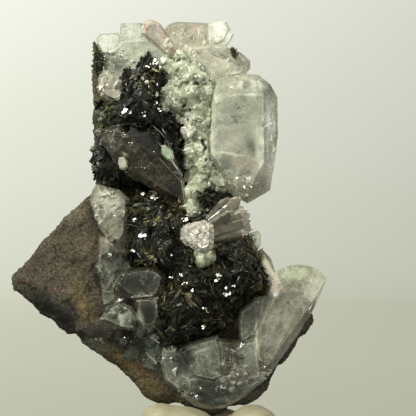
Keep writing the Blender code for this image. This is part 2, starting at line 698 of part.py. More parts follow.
def lower_right_quartz():
    """The big grey quartz at the lower right, with the crystals along the foot and a thin
    pale blade against its upper left side."""
    plate = [(24.3, 41.4), (25.9, 42.1), (27.7, 42.8), (29.9, 43), (32.2, 42.6), (34.1, 41.9)]
    plate += [(36, 40.1), (34.9, 37.4), (34, 35.1), (32.6, 32.4), (29.9, 27.9), (26.6, 23.9)]
    plate += [(22.7, 18), (19.8, 19.4), (19.4, 26.1), (20.5, 30.6), (22.1, 35.1)]
    face = [(24.5, 36.5), (30, 37.5), (32.4, 34.4), (28.2, 28.4), (22.6, 20.6), (20.6, 22), (21, 29)]
    slab = hull(
        [(x, -9.0 + (x - 20) * 0.42, z) for x, z in face]
        + [(x, -5.5 + (x - 20) * 0.3, z) for x, z in plate]
        + [(x, -2.0 + (x - 20) * 0.36, z) for x, z in plate]
    )
    side = [(16.4, 32.9), (19.8, 35.8), (22.3, 36.2), (21.6, 31.7), (19.6, 27.2), (16.4, 25)]
    side += [(15.8, 30)]
    big = [(2.5, 23.9), (4.1, 25.2), (7.4, 26.4), (11.5, 27.4), (12.4, 25), (12.9, 17.6)]
    big += [(10.8, 16.6), (6, 17.6)]
    brown = [(11.4, 26.6), (16.6, 26), (16.6, 18.8), (12.4, 18.2)]
    broken = [(15.8, 26), (20, 27), (20.6, 19), (21.2, 17.8), (17, 16), (13.6, 18)]
    base = [(3.6, 18), (8, 19), (14.2, 19), (20.4, 19), (22.5, 17.6), (18.7, 14.6), (16.4, 12.8)]
    base += [(13, 11), (9.7, 10.6), (6.3, 11.4), (3.2, 13.6)]
    left = [(-0.8, 24.6), (3, 25), (7, 20), (6, 16), (2.5, 14.4), (-0.5, 17), (-1.6, 21.6)]
    white = [(20.8, 44.1), (21.6, 46.2), (23.2, 44), (24.8, 39), (24.6, 37), (22.4, 37)]
    thin = [(20.6, 46.4), (21.4, 46.6), (23.4, 44.4), (23.3, 43.2), (25.6, 37.6), (24.2, 37)]
    return union(
        "lower_right_quartz",
        [
            slab,
            table_crystal(side, -10.0, 2.0, 0.8, (-0.1, 0.0)),
            table_crystal(broken, -9.2, 3.0, 0.82),
            table_crystal(brown, -9.0, 3.0, 0.84),
            table_crystal(big, -11.0, 2.0, 0.8, (0.0, 0.06)),
            table_crystal(left, -7.0, 2.5, 0.8),
            table_crystal(base, -8.6, 4.0, 0.8, (0.0, -0.18)),
            table_crystal(white, -3.6, 2.5, 0.72),
            table_crystal(thin, -1.4, 2.0, 0.85),
        ],
    )


def display_putty():
    """A squeezed lump with a flat underside and two lobes that stand up beside the rock."""
    middle, wide, deep = PUTTY_MIDDLE, PUTTY_WIDTH / 2, PUTTY_DEPTH / 2
    lobes = [
        ((middle, 0.0, 1.0), (wide, deep, 5.8)),
        ((middle - 7.3, -1.5, 3.0), (11.0, 11.5, PUTTY_TOP - 3.2)),
        ((middle + 9.6, -1.0, 3.0), (7.2, 10.0, PUTTY_TOP - 2.8)),
        ((middle + 0.5, 6.5, 3.0), (12.5, 7.6, PUTTY_TOP - 4.0)),
    ]
    parts = []
    for centre, reach in lobes:
        bm = bmesh.new()
        bmesh.ops.create_uvsphere(bm, u_segments=16, v_segments=10, radius=1.0)
        for vert in bm.verts:
            vert.co = Vector([(centre[i] + vert.co[i] * reach[i]) * MM for i in range(3)])
        parts.append(new_object("lobe", bm))
    putty = union("display_putty", parts)
    bm = bmesh.new()
    bm.from_mesh(putty.data)
    whole = bm.verts[:] + bm.edges[:] + bm.faces[:]
    bmesh.ops.bisect_plane(bm, geom=whole, plane_co=(0, 0, 0), plane_no=(0, 0, 1), clear_inner=True)
    rim = [edge for edge in bm.edges if edge.is_boundary]
    bmesh.ops.contextual_create(bm, geom=rim)
    bmesh.ops.recalc_face_normals(bm, faces=bm.faces)
    bm.to_mesh(putty.data)
    bm.free()
    return putty


def stand_on_origin(things):
    """Moves the whole object so that the middle of its underside is the origin."""
    boxes = [box_of(thing) for thing in things]
    low = [min(box[0][i] for box in boxes) for i in range(3)]
    high = [max(box[1][i] for box in boxes) for i in range(3)]
    move = Vector((-(low[0] + high[0]) / 2, -(low[1] + high[1]) / 2, -low[2]))
    for thing in things:
        for vert in thing.data.vertices:
            vert.co += move


def build():
    clear_scene()
    dice = random.Random(SEED)
    rock = matrix_rock()
    finish_rock(rock)
    made = [rock]
    clear = [upper_quartz(), lower_right_quartz(), lower_left_quartz(), harlequin_quartz()]
    clear += [green_quartz(), smoky_quartz()]
    pale = [prehnite_button(), prehnite_crust(dice)]
    small = list(small_crystals())
    dark = [epidote_column(dice), epidote_chip(), upper_epidote(dice), lower_epidote(dice)]
    groups = [(clear, finish_quartz, 1.0), (pale, finish_prehnite, CRUST_SHARE)]
    groups += [(small, finish_quartz, 1.0), (dark, finish_epidote, EPIDOTE_SHARE)]
    groups += [([display_putty()], finish_putty, 1.0)]
    for things, add_finish, share in groups:
        for thing in things:
            fit_against(thing, made)
            if share < 1.0:
                fewer_facets(thing, share)
            add_finish(thing)
            made.append(thing)
    stand_on_origin(made)


build()
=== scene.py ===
import math

import bmesh
import bpy
import numpy as np
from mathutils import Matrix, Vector
from mathutils.bvhtree import BVHTree


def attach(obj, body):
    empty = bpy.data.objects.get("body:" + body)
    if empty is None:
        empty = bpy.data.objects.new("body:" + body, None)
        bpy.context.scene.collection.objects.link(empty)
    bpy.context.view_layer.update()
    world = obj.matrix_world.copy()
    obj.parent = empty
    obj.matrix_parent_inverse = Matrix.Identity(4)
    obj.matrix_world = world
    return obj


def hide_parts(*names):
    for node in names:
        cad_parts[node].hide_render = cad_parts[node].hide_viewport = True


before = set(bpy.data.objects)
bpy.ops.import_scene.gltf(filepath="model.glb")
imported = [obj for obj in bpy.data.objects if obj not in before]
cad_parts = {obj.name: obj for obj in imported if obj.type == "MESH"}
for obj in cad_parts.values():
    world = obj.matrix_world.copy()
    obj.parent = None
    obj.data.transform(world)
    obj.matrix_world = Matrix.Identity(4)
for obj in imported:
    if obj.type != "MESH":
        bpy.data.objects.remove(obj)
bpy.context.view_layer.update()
mm = 0.001
quartzIor = 1.544

# A harlequin quartz specimen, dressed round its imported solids. Places are (x, z) in millimetres as seen
# from the front, and tints are sRGB hex values.


# Numbers that change smoothly

def hexColour(code):
    # sRGB hex to linear red, green and blue
    value = np.array([int(code[i:i + 2], 16) for i in (1, 3, 5)]) / 255
    return np.where(value <= 0.04045, value / 12.92, ((value + 0.055) / 1.055) ** 2.4)


def hashed(cells, seed):
    # A number from 0 to 1 for each whole-number cell, always the same for the same cell and seed
    key = cells @ np.array([73856093, 19349663, 83492791]) + seed * 2654435761
    key = (key ^ (key >> 13)) * 1274126177 & 0xFFFFFFFF
    key = (key ^ (key >> 15)) * 2246822519 & 0xFFFFFFFF
    return ((key ^ (key >> 16)) & 0xFFFFFF) / 16777215


def smoothNoise(points, size, seed):
    # Random numbers at the corners of cubes of this size, blended by a smoothstep: from -1 to 1
    grid = points / (size * mm)
    base = np.floor(grid).astype(np.int64)
    part = grid - base
    part = part * part * (3 - 2 * part)
    total = np.zeros(len(points))
    for corner in range(8):
        step = np.array([corner & 1, corner >> 1 & 1, corner >> 2])
        weight = np.prod(np.where(step, part, 1 - part), axis=1)
        total += weight * hashed(base + step, seed)
    return total * 2 - 1


def layeredNoise(points, size, seed, layers=3):
    # Smooth noise with half the size and half the strength again for each layer
    total = sum(smoothNoise(points, size / 2**i, seed + i) / 2**i for i in range(layers))
    return total / (2 - 2.0**(1 - layers))


def nearestCells(points, size, seed):
    # One random seed in each cube: the distances to the nearest and to the next, in cubes, the way to the
    # nearest, and its number
    grid = points / (size * mm)
    base = np.floor(grid).astype(np.int64)
    first = np.full(len(points), 9.0)
    second = first.copy()
    way = np.zeros_like(points)
    number = np.zeros(len(points))
    for step in np.ndindex(3, 3, 3):
        cell = base + np.array(step) - 1
        away = cell + np.stack([hashed(cell, seed + i) for i in range(3)], axis=1) - grid
        distance = np.linalg.norm(away, axis=1)
        closer = distance < first
        second = np.where(closer, first, np.minimum(second, distance))
        first = np.where(closer, distance, first)
        way = np.where(closer[:, None], away, way)
        number = np.where(closer, hashed(cell, seed + 7), number)
    return first, second, way, number


def brokenFacets(points, size, seed):
    # Each cell is a plane with its own tilt and height, as on freshly broken rock: from about -1 to 1
    _, _, way, number = nearestCells(points, size, seed)
    tilt = np.stack([np.cos(number * 40), np.sin(number * 57), np.cos(number * 91)], axis=1)
    return (way * tilt).sum(axis=1) + number - 0.5


def softOvals(points, marks):
    # For each mark (name, x, z, wide, high, turn in degrees, ...) a share that is 1 in its middle and 0
    # outside
    x, z = points[:, 0] / mm, points[:, 2] / mm
    for mark in marks:
        turn = math.radians(mark[5])
        along = (x - mark[1]) * math.cos(turn) + (z - mark[2]) * math.sin(turn)
        across = (z - mark[2]) * math.cos(turn) - (x - mark[1]) * math.sin(turn)
        yield mark, np.exp(-((along / mark[3]) ** 2 + (across / mark[4]) ** 2) ** 1.5)


def placeShare(points, marks):
    # The strongest share of any mark at each point, times that mark's last number
    shares = [share * mark[6] for mark, share in softOvals(points, marks)]
    return np.max(shares, axis=0) if shares else np.zeros(len(points))


def awayFrom(points, x, z):
    # How far each point is from a place in the front view, in millimetres
    return np.hypot(points[:, 0] / mm - x, points[:, 2] / mm - z)


def tintedBy(points, ground, marks, wander=0.5):
    # The ground's colour, covered in turn by each mark's, with outlines that wander by so many millimetres
    bent = points + np.stack([layeredNoise(points, 2.2, 50 + i) for i in range(3)], axis=1) * wander * mm
    colour = np.tile(hexColour(ground), (len(points), 1))
    for mark, share in softOvals(bent, marks):
        colour += (hexColour(mark[6]) - colour) * share[:, None]
    return colour


# Meshes from arrays

def newObject(name, data):
    # An object in the scene for a mesh, a lamp or a camera
    thing = bpy.data.objects.new(name, data)
    bpy.context.scene.collection.objects.link(thing)
    return thing


def newMesh(name, points, faces, smooth):
    # A mesh from an array of corners, and an array or a list of faces
    mesh = bpy.data.meshes.new(name)
    mesh.from_pydata(points.tolist(), [], faces if isinstance(faces, list) else faces.tolist())
    mesh.polygons.foreach_set("use_smooth", np.full(len(mesh.polygons), smooth))
    return mesh


def madePiece(name, points, faces, finishes, replaced=(), smooth=False):
    # An object from arrays of corners and faces, riding on the one body, with its finishes
    thing = newObject(name, newMesh(name, points, faces, smooth))
    for finish in finishes:
        thing.data.materials.append(finish)
    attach(thing, "root")
    if replaced:
        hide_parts(*replaced)
    return thing


def keepColour(thing, name, colour):
    # Stores a colour for each corner point, which the materials read as the attribute of that name
    kept = thing.data.color_attributes.new(name, "FLOAT_COLOR", "POINT")
    kept.data.foreach_set("color", np.column_stack([colour, np.ones(len(colour))]).astype(np.float32).ravel())


def keepNumber(thing, name, values):
    # Stores a number for each corner point in the same way
    kept = thing.data.attributes.new(name, "FLOAT", "POINT")
    kept.data.foreach_set("value", np.asarray(values, np.float32))


def evenSkin(node, grid, crisp=False):
    # A merged copy of a CAD node under an even closed skin of squares: its corners, faces and outward
    # normals. A crisp skin keeps the solid's sharp edges.
    bm = bmesh.new()
    bm.from_mesh(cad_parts[node].data)
    bmesh.ops.remove_doubles(bm, verts=bm.verts, dist=0.000001)
    mesh = bpy.data.meshes.new("scratch")
    bm.to_mesh(mesh)
    bm.free()
    thing = newObject("scratch", mesh)
    skin = thing.modifiers.new("skin", "REMESH")
    skin.mode = "SHARP" if crisp else "VOXEL"
    if crisp:
        skin.octree_depth = math.ceil(math.log2(max(thing.dimensions) / (0.9 * grid * mm)))
        skin.scale = max(thing.dimensions) / (grid * mm * 2 ** skin.octree_depth)
        skin.use_remove_disconnected = False
    else:
        skin.voxel_size = grid * mm
    graph = bpy.context.evaluated_depsgraph_get()
    even = bpy.data.meshes.new_from_object(thing.evaluated_get(graph))
    bpy.data.objects.remove(thing)
    points = np.empty(len(even.vertices) * 3, np.float32)
    normals = np.empty_like(points)
    faces = np.empty(len(even.loops), np.int32)
    even.vertices.foreach_get("co", points)
    even.vertex_normals.foreach_get("vector", normals)
    even.loops.foreach_get("vertex_index", faces)
    bpy.data.meshes.remove(even)
    return points.reshape(-1, 3).astype(float), faces.reshape(-1, 4), normals.reshape(-1, 3).astype(float)


def scatteredOn(node, count, seed):
    # Random places on a CAD node's triangles, as many per square millimetre everywhere, and the normals
    # there
    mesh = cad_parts[node].data
    mesh.calc_loop_triangles()
    corners = np.empty(len(mesh.vertices) * 3)
    mesh.vertices.foreach_get("co", corners)
    index = np.empty(len(mesh.loop_triangles) * 3, np.int32)
    mesh.loop_triangles.foreach_get("vertices", index)
    a, b, c = corners.reshape(-1, 3)[index.reshape(-1, 3)].transpose(1, 0, 2)
    normal = np.cross(b - a, c - a)
    area = np.linalg.norm(normal, axis=1)
    dice = np.random.default_rng(seed)
    pick = dice.choice(len(area), count, p=area / area.sum())
    u, v = dice.random((2, count))
    u, v = np.where(u + v > 1, 1 - u, u), np.where(u + v > 1, 1 - v, v)
    places = a[pick] + (b - a)[pick] * u[:, None] + (c - a)[pick] * v[:, None]
    return places, normal[pick] / area[pick][:, None]


def unit(vectors):
    # Each vector at a length of one
    return vectors / np.maximum(np.linalg.norm(vectors, axis=1), 1e-9)[:, None]


lathCorners = 10


def laths(roots, ways, faceWays, length, width, depth):
    # A flat lath along each way: a rectangle at the root and the shoulder, closed by a chisel edge at the
    # tip
    side = unit(np.cross(ways, faceWays))
    out = np.cross(side, ways)
    station = np.array([[-1, -1, 0], [1, -1, 0], [1, 1, 0], [-1, 1, 0], [-0.92, -0.9, 0.8], [0.92, -0.9, 0.8],
                        [0.92, 0.9, 0.8], [-0.92, 0.9, 0.8], [-0.6, 0, 1], [0.5, 0, 1]])
    points = (roots[:, None] + ways[:, None] * (station[:, 2] * length[:, None])[..., None]
              + side[:, None] * (station[:, 0] * width[:, None] / 2)[..., None]
              + out[:, None] * (station[:, 1] * depth[:, None] / 2)[..., None])
    walls = np.array([[0, 1, 5, 4], [1, 2, 6, 5], [2, 3, 7, 6], [3, 0, 4, 7], [4, 5, 9, 8], [6, 7, 8, 9],
                      [3, 2, 1, 0]])
    caps = np.array([[5, 6, 9], [7, 4, 8]])
    start = np.arange(len(roots))[:, None, None] * lathCorners
    return points.reshape(-1, 3), (walls + start).reshape(-1, 4), (caps + start).reshape(-1, 3)


prismCorners = 13
crossWay = [0.31, 0.52, -0.79]  # no crystal points this way, so it gives each a side


def pointedPrisms(roots, ways, length, radius, turn):
    # Six-sided prisms: a ring at the root, a slightly narrower ring at the shoulder and one point at the
    # tip
    side = unit(np.cross(ways, crossWay))
    out = np.cross(side, ways)
    angle = turn[:, None] + np.arange(6) * math.pi / 3
    ring = side[:, None] * np.cos(angle)[..., None] + out[:, None] * np.sin(angle)[..., None]
    ring = ring * radius[:, None, None]
    shoulder = roots[:, None] + ways[:, None] * (length - radius * 1.3)[:, None, None] + ring * 0.9
    tip = roots + ways * length[:, None] + ring[:, 0] * 0.15
    points = np.concatenate([roots[:, None] + ring, shoulder, tip[:, None]], axis=1)
    start = np.arange(len(roots))[:, None, None] * prismCorners
    step = np.arange(6)
    after = (step + 1) % 6
    walls = (np.stack([step, after, after + 6, step + 6], axis=1) + start).reshape(-1, 4)
    caps = (np.stack([step + 6, after + 6, np.full(6, 12)], axis=1) + start).reshape(-1, 3)
    ends = (np.arange(5, -1, -1) + start[:, 0])
    return points.reshape(-1, 3), walls.tolist() + caps.tolist() + ends.tolist()


# Materials

def addNode(material, kind, setting=None, stops=None, **links):
    # Adds a node: its own settings, its ramp's stops, and each input as a value or another node's output
    tree = material.node_tree
    node = tree.nodes.new("ShaderNode" + kind)
    for name, value in (setting or {}).items():
        setattr(node, name, value)
    for i, (at, code) in enumerate(stops or []):
        element = node.color_ramp.elements[i] if i < 2 else node.color_ramp.elements.new(at)
        element.position = at
        element.color = (*hexColour(code), 1)
    for name, value in links.items():
        socket = node.inputs[int(name[1:]) if name[1:].isdigit() else name.replace("_", " ")]
        if isinstance(value, bpy.types.NodeSocket):
            tree.links.new(value, socket)
        else:
            socket.default_value = value
    return node


def newMaterial(name):
    # An empty material, and the object's own coordinates, which its patterns follow
    material = bpy.data.materials.new(name)
    material.use_nodes = True
    material.node_tree.nodes.clear()
    return material, addNode(material, "TexCoord").outputs["Object"]


def finished(material, shader, bump=None, volume=None):
    # Joins the shader, its bump and what fills the solid to the output
    if bump is not None:
        material.node_tree.links.new(bump.outputs["Normal"], shader.inputs["Normal"])
    output = addNode(material, "OutputMaterial", Surface=shader.outputs[0])
    if volume is not None:
        material.node_tree.links.new(volume.outputs[0], output.inputs["Volume"])
    return material


def wayToLamp():
    # The way to the key lamp, at a length of one
    return np.array(studio["keyWay"]) / np.linalg.norm(studio["keyWay"])


def perMetre(size):
    # Noise scale for a pattern of so many millimetres
    return 1 / (size * mm)


def quartzFinish(name, look, milk):
    # Quartz crystal: see-through with faint growth steps. The milkier it is, the more its healed cracks and
    # tiny bubbles scatter the light, so it keeps more of its own tint and has a duller surface.
    material, place = newMaterial(name)
    tint = addNode(material, "Attribute", {"attribute_name": "tint"}).outputs["Color"]
    cloud = addNode(material, "TexNoise", Vector=place, Scale=perMetre(look["cloud"]), Detail=5.0,
                    Roughness=0.6)
    veil = addNode(material, "TexNoise", Vector=place, Scale=perMetre(look["cloud"] * 0.5), Detail=4.0,
                   Roughness=0.6, Distortion=2.0)
    wisps = addNode(material, "MapRange", Value=veil.outputs["Fac"], From_Min=0.56, From_Max=0.76,
                    To_Max=look["veil"] * (0.4 + 0.6 * milk)).outputs[0]
    shade = addNode(material, "MapRange", Value=cloud.outputs["Fac"], From_Min=0.35, From_Max=0.62,
                    To_Min=1 - look["mottle"], To_Max=1.06).outputs[0]
    own = addNode(material, "Gamma", Color=tint, Gamma=look["paler"] + (1 - look["paler"]) * milk).outputs[0]
    shaded = addNode(material, "MixRGB", {"blend_type": "MULTIPLY"}, _0=1.0, _1=own, _2=shade).outputs[0]
    frosty = addNode(material, "Gamma", Color=tint, Gamma=look["frosty"]).outputs[0]
    colour = addNode(material, "MixRGB", _0=wisps, _1=shaded, _2=frosty).outputs[0]
    rough = addNode(material, "MapRange", Value=veil.outputs["Fac"], From_Min=0.4, From_Max=0.65,
                    To_Min=look["polish"] + look["frost"] * milk * 0.4,
                    To_Max=look["frost"] * (0.5 + milk * 0.5)).outputs[0]
    shader = addNode(material, "BsdfPrincipled", Base_Color=colour, Roughness=rough, IOR=quartzIor)
    clear, milky = look["clear"], look["milky"]
    shader.inputs["Transmission Weight"].default_value = clear + (milky - clear) * milk
    steps = addNode(material, "TexWave", {"bands_direction": "Z"}, Vector=place,
                    Scale=perMetre(look["step"]) / 6, Distortion=6.0, Detail=3.0).outputs["Fac"]
    pitted = addNode(material, "Math", {"operation": "ADD"}, _0=steps, _1=veil.outputs["Fac"]).outputs[0]
    bump = addNode(material, "Bump", Height=pitted, Strength=look["relief"], Distance=0.1 * mm)
    haze = addNode(material, "VolumeAbsorption", Color=(*hexColour(look["haze"]), 1), Density=look["density"])
    return finished(material, shader, bump, haze)


def quartzFinishes(name, look):
    # The same quartz in four steps from clear to milky
    steps = ("Clear", "Hazy", "Cloudy", "Milky")
    return [quartzFinish(name + step, look, i / 3) for i, step in enumerate(steps)]


def weatheredRock(look):
    # Weathered volcanic rock: dull, grey-brown, with dark and pale grains half a millimetre across
    material, place = newMaterial("weatheredRock")
    tint = addNode(material, "Attribute", {"attribute_name": "tint"}).outputs["Color"]
    grain = addNode(material, "TexNoise", Vector=place, Scale=perMetre(look["grain"]), Detail=4.0,
                    Roughness=0.75)
    light = addNode(material, "ValToRGB", None, [(0.36, "#524E47"), (0.66, "#F4F2EC"), (0.5, "#AEAAA1")],
                    Fac=grain.outputs["Fac"]).outputs[0]
    crystals = addNode(material, "TexVoronoi", {"feature": "F1"}, Vector=place,
                       Scale=perMetre(look["crystal"]))
    pale = addNode(material, "MapRange", Value=crystals.outputs["Distance"], From_Min=0.1, From_Max=0.3,
                   To_Min=0.3, To_Max=0.0).outputs[0]
    colour = addNode(material, "MixRGB", {"blend_type": "MULTIPLY"}, _0=1.0, _1=tint, _2=light).outputs[0]
    colour = addNode(material, "MixRGB", _0=pale, _1=colour, _2=(*hexColour(look["speck"]), 1)).outputs[0]
    shader = addNode(material, "BsdfPrincipled", Base_Color=colour, Roughness=0.88, IOR=1.5)
    bump = addNode(material, "Bump", Height=grain.outputs["Fac"], Strength=0.9, Distance=0.35 * mm)
    return finished(material, shader, bump)


def epidoteGlass(name, look, polish, dull, shine):
    # Epidote: nearly black with a glassy shine, and golden brown or olive where a thin blade lets light
    # through
    material, place = newMaterial(name)
    tone = addNode(material, "Attribute", {"attribute_name": "tone"}).outputs["Fac"]
    colour = addNode(material, "ValToRGB", None, look["tones"], Fac=tone).outputs[0]
    streak = addNode(material, "TexNoise", Vector=place, Scale=perMetre(0.5), Detail=3.0)
    rough = addNode(material, "MapRange", Value=streak.outputs["Fac"], From_Min=0.35, From_Max=0.65,
                    To_Min=polish, To_Max=dull).outputs[0]
    shader = addNode(material, "BsdfPrincipled", Base_Color=colour, Roughness=rough, IOR=1.73)
    shader.inputs["Specular IOR Level"].default_value = shine
    bump = addNode(material, "Bump", Height=streak.outputs["Fac"], Strength=0.3, Distance=0.1 * mm)
    return finished(material, shader, bump)


def prehniteWax(look):
    # Prehnite: waxy pale green, a little see-through, with painted light and shade: paler on the tops of its
    # lumps than between them
    material, place = newMaterial("prehniteWax")
    height = addNode(material, "Attribute", {"attribute_name": "height"}).outputs["Fac"]
    cloud = addNode(material, "TexNoise", Vector=place, Scale=perMetre(1.6), Detail=5.0, Roughness=0.7)
    mixed = addNode(material, "Math", {"operation": "MULTIPLY_ADD"}, _0=cloud.outputs["Fac"], _1=0.7,
                    _2=height)
    colour = addNode(material, "ValToRGB", None, look["tones"], Fac=mixed.outputs[0]).outputs[0]
    shader = addNode(material, "BsdfPrincipled", Base_Color=colour, Roughness=0.34, IOR=1.63)
    shader.inputs["Subsurface Weight"].default_value = look["glow"]
    shader.inputs["Subsurface Scale"].default_value = 0.8 * mm
    shader.inputs["Subsurface Radius"].default_value = (1.0, 1.05, 0.9)
    bump = addNode(material, "Bump", Height=cloud.outputs["Fac"], Strength=0.7, Distance=0.25 * mm)
    return finished(material, shader, bump)


def displayPutty(look):
    # Display putty: matt and beige, softly mottled where it has been worked
    material, place = newMaterial("displayPutty")
    cloud = addNode(material, "TexNoise", Vector=place, Scale=perMetre(4.0), Detail=5.0, Roughness=0.6)
    colour = addNode(material, "ValToRGB", None, look["tones"], Fac=cloud.outputs["Fac"]).outputs[0]
    shader = addNode(material, "BsdfPrincipled", Base_Color=colour, Roughness=0.62, IOR=1.48)
    fine = addNode(material, "TexNoise", Vector=place, Scale=perMetre(0.9), Detail=4.0)
    bump = addNode(material, "Bump", Height=fine.outputs["Fac"], Strength=0.25, Distance=0.2 * mm)
    return finished(material, shader, bump)


# The rock

matrixRock = {
    "grid": 0.42, "seed": 4, "lumps": 0.35, "lumpSize": 7.0, "facets": 0.3, "facetSize": 3.2, "chips": 0.16,
    "chipSize": 1.2, "ground": "#5A5245", "grain": 0.5, "crystal": 0.8, "speck": "#968C78",
    "bulges": [("foot left", -3.6, 13.8, 5.4, 2.8, -42, 1.3)],
    # Stains, and some painted shade: the bevels and the step that face down, and the groove beside the
    # quartz, are painted dark as in shadow
    "stainsAndShade": [
        ("brown face", -22.1, 46.4, 9.0, 8.6, 0, "#6A6152"),
        ("left tip", -32.2, 40.1, 3.1, 2.0, 0, "#625A50"),
        ("pale upper edge", -20.3, 54.9, 3.1, 2.0, 45, "#7E7563"),
        ("pale middle", -18.9, 47.5, 2.7, 2.0, 0, "#7D725F"),
        ("ochre stain", -20.5, 36.7, 2.0, 2.7, 0, "#7E7350"),
        ("ochre low", -18.9, 34.0, 2.0, 2.0, 0, "#857450"),
        ("olive foot", -17.6, 31.1, 1.8, 0.9, 0, "#80704E"),
        ("pink edge", -24.3, 37.4, 2.7, 0.5, 0, "#8A746A"),
        # Painted shade: this bevel and the next face down, and are painted dark as in shadow
        ("bevel shade", -27.2, 34.1, 6.4, 1.9, -38, "#21251E"),
        ("bevel green shade", -23.4, 31.0, 2.4, 1.8, -45, "#2A2F26"),
        ("black bite", -21.2, 32.4, 1.1, 2.5, 25, "#26241D"),
        # Painted shade on the step that faces down
        ("step shade", -15.3, 27.4, 6.3, 2.0, 0, "#2E2C26"),
        ("pale green band", -15.2, 24.8, 3.8, 1.2, -16, "#A9AF9C"),
        ("ochre band", -10.2, 21.4, 5.6, 1.8, -36, "#8E7E52"),
        ("rust spot", -5.9, 19.2, 2.6, 0.9, -60, "#7A573C"),
        ("rust low", -4.1, 16.0, 3.4, 1.8, -45, "#7C6A44"),
        ("green skin", -4.4, 25.0, 4.8, 3.4, -42, "#3D4239"),
        ("green skin low", 1.4, 18.6, 3.4, 2.6, -42, "#3D4239"),
        ("rust groove high", -14.9, 47.9, 0.6, 1.1, 10, "#8A5A38"),
        ("rust groove low", -13.7, 38.7, 0.6, 1.8, 5, "#735330"),
        # Painted shadow in the gap between the rock and the quartz that stands proud of it
        ("dark groove", -15.6, 52.6, 0.9, 4.4, 25, "#15120D"),
        ("dark groove low", -15.8, 40.1, 0.8, 3.6, 20, "#2A241B"),
        ("red line", -31.1, 38.9, 2.2, 0.3, -12, "#855A44"),
        ("upper strip", -16.4, 82.4, 1.4, 5.0, 0, "#6C6253"),
        ("upper strip low", -16.2, 68.9, 1.1, 5.4, 0, "#4A4638"),
        ("crack a", -25.7, 46.6, 0.4, 1.4, 22, "#24211B"), ("crack b", -23.9, 45.9, 1.6, 0.2, 0, "#24211B"),
        ("crack c", -20.9, 44.1, 3.4, 0.3, 3, "#3A352B"),
        ("dark right", 29.7, 30.2, 2.7, 1.8, 30, "#211F19"),
        ("right rim", 22.9, 18.9, 5.0, 1.8, 52, "#2A2820"), ("foot", 10.6, 10.8, 9.0, 1.4, 0, "#2C251D"),
    ],
}


def makeRock(look):
    # The solid's skin, moved along its normals by broad lumps, broken facets, small chips and the bulges
    points, faces, normals = evenSkin("matrix_rock", look["grid"])
    # The tint: the rock's stains, with painted shade on its downward bevels and step and in its groove
    tint = tintedBy(points, look["ground"], look["stainsAndShade"])
    move = look["lumps"] * layeredNoise(points, look["lumpSize"], look["seed"])
    move += look["facets"] * brokenFacets(points, look["facetSize"], look["seed"] + 10)
    move += look["chips"] * brokenFacets(points, look["chipSize"], look["seed"] + 20)
    move += placeShare(points, look["bulges"])
    points += normals * (move * mm)[:, None]
    rock = madePiece("matrix_stone", points, faces, [weatheredRock(look)], ["matrix_rock"], True)
    keepColour(rock, "tint", tint)


# The quartz

# A zone is a name, its place, half its width and height, its turn, its tint, and how milky it is. A rough
# place ends with how strongly its facets break, and a streaked one with the way its streaks run.
quartz = {
    "clear": 0.96, "milky": 0.12,  # how see-through the clearest and the milkiest are
    "paler": 0.45, "frosty": 0.5,  # gammas that lift the tint of what is clear, and of the wisps
    "cloud": 2.6, "mottle": 0.3, "veil": 0.55, "haze": "#C9CBB8", "density": 25.0,
    "polish": 0.02, "frost": 0.4, "step": 1.4, "relief": 0.3,
    "grid": 0.26, "uneven": 0.07, "waveSize": 3.5, "creaseAngle": 24,
    "facetSizes": (2.4, 0.9), "facetDepths": (0.38, 0.07), "facetTint": 0.45,
    # cracks: how pale the healed cracks are; edges: how far sharp edges are painted pale, a painted highlight
    "cracks": 0.4, "crackSize": 2.8, "edges": 0.28, "crackAndEdgeHighlightTint": "#F6F5EE", "warmTint": "#A08F74",
    "streakDepth": 0.7, "streakRange": (-0.55, 0.9),
    "milk": 0.45, "edgeMilk": 0.4, "crackMilk": 0.3, "fleckMilk": 0.6,
    "cloudMilk": 0.4, "cloudSize": 2.2, "grainMilk": 0.3, "grainSize": 0.6, "faceMilk": 0.1,
    "fleckSize": 0.3, "fleckEdge": 0.12, "fleckWander": 0.18, "fleckTint": "#B9504A",  # red inclusions
    "rough": [], "streaks": [], "flecks": [],
}
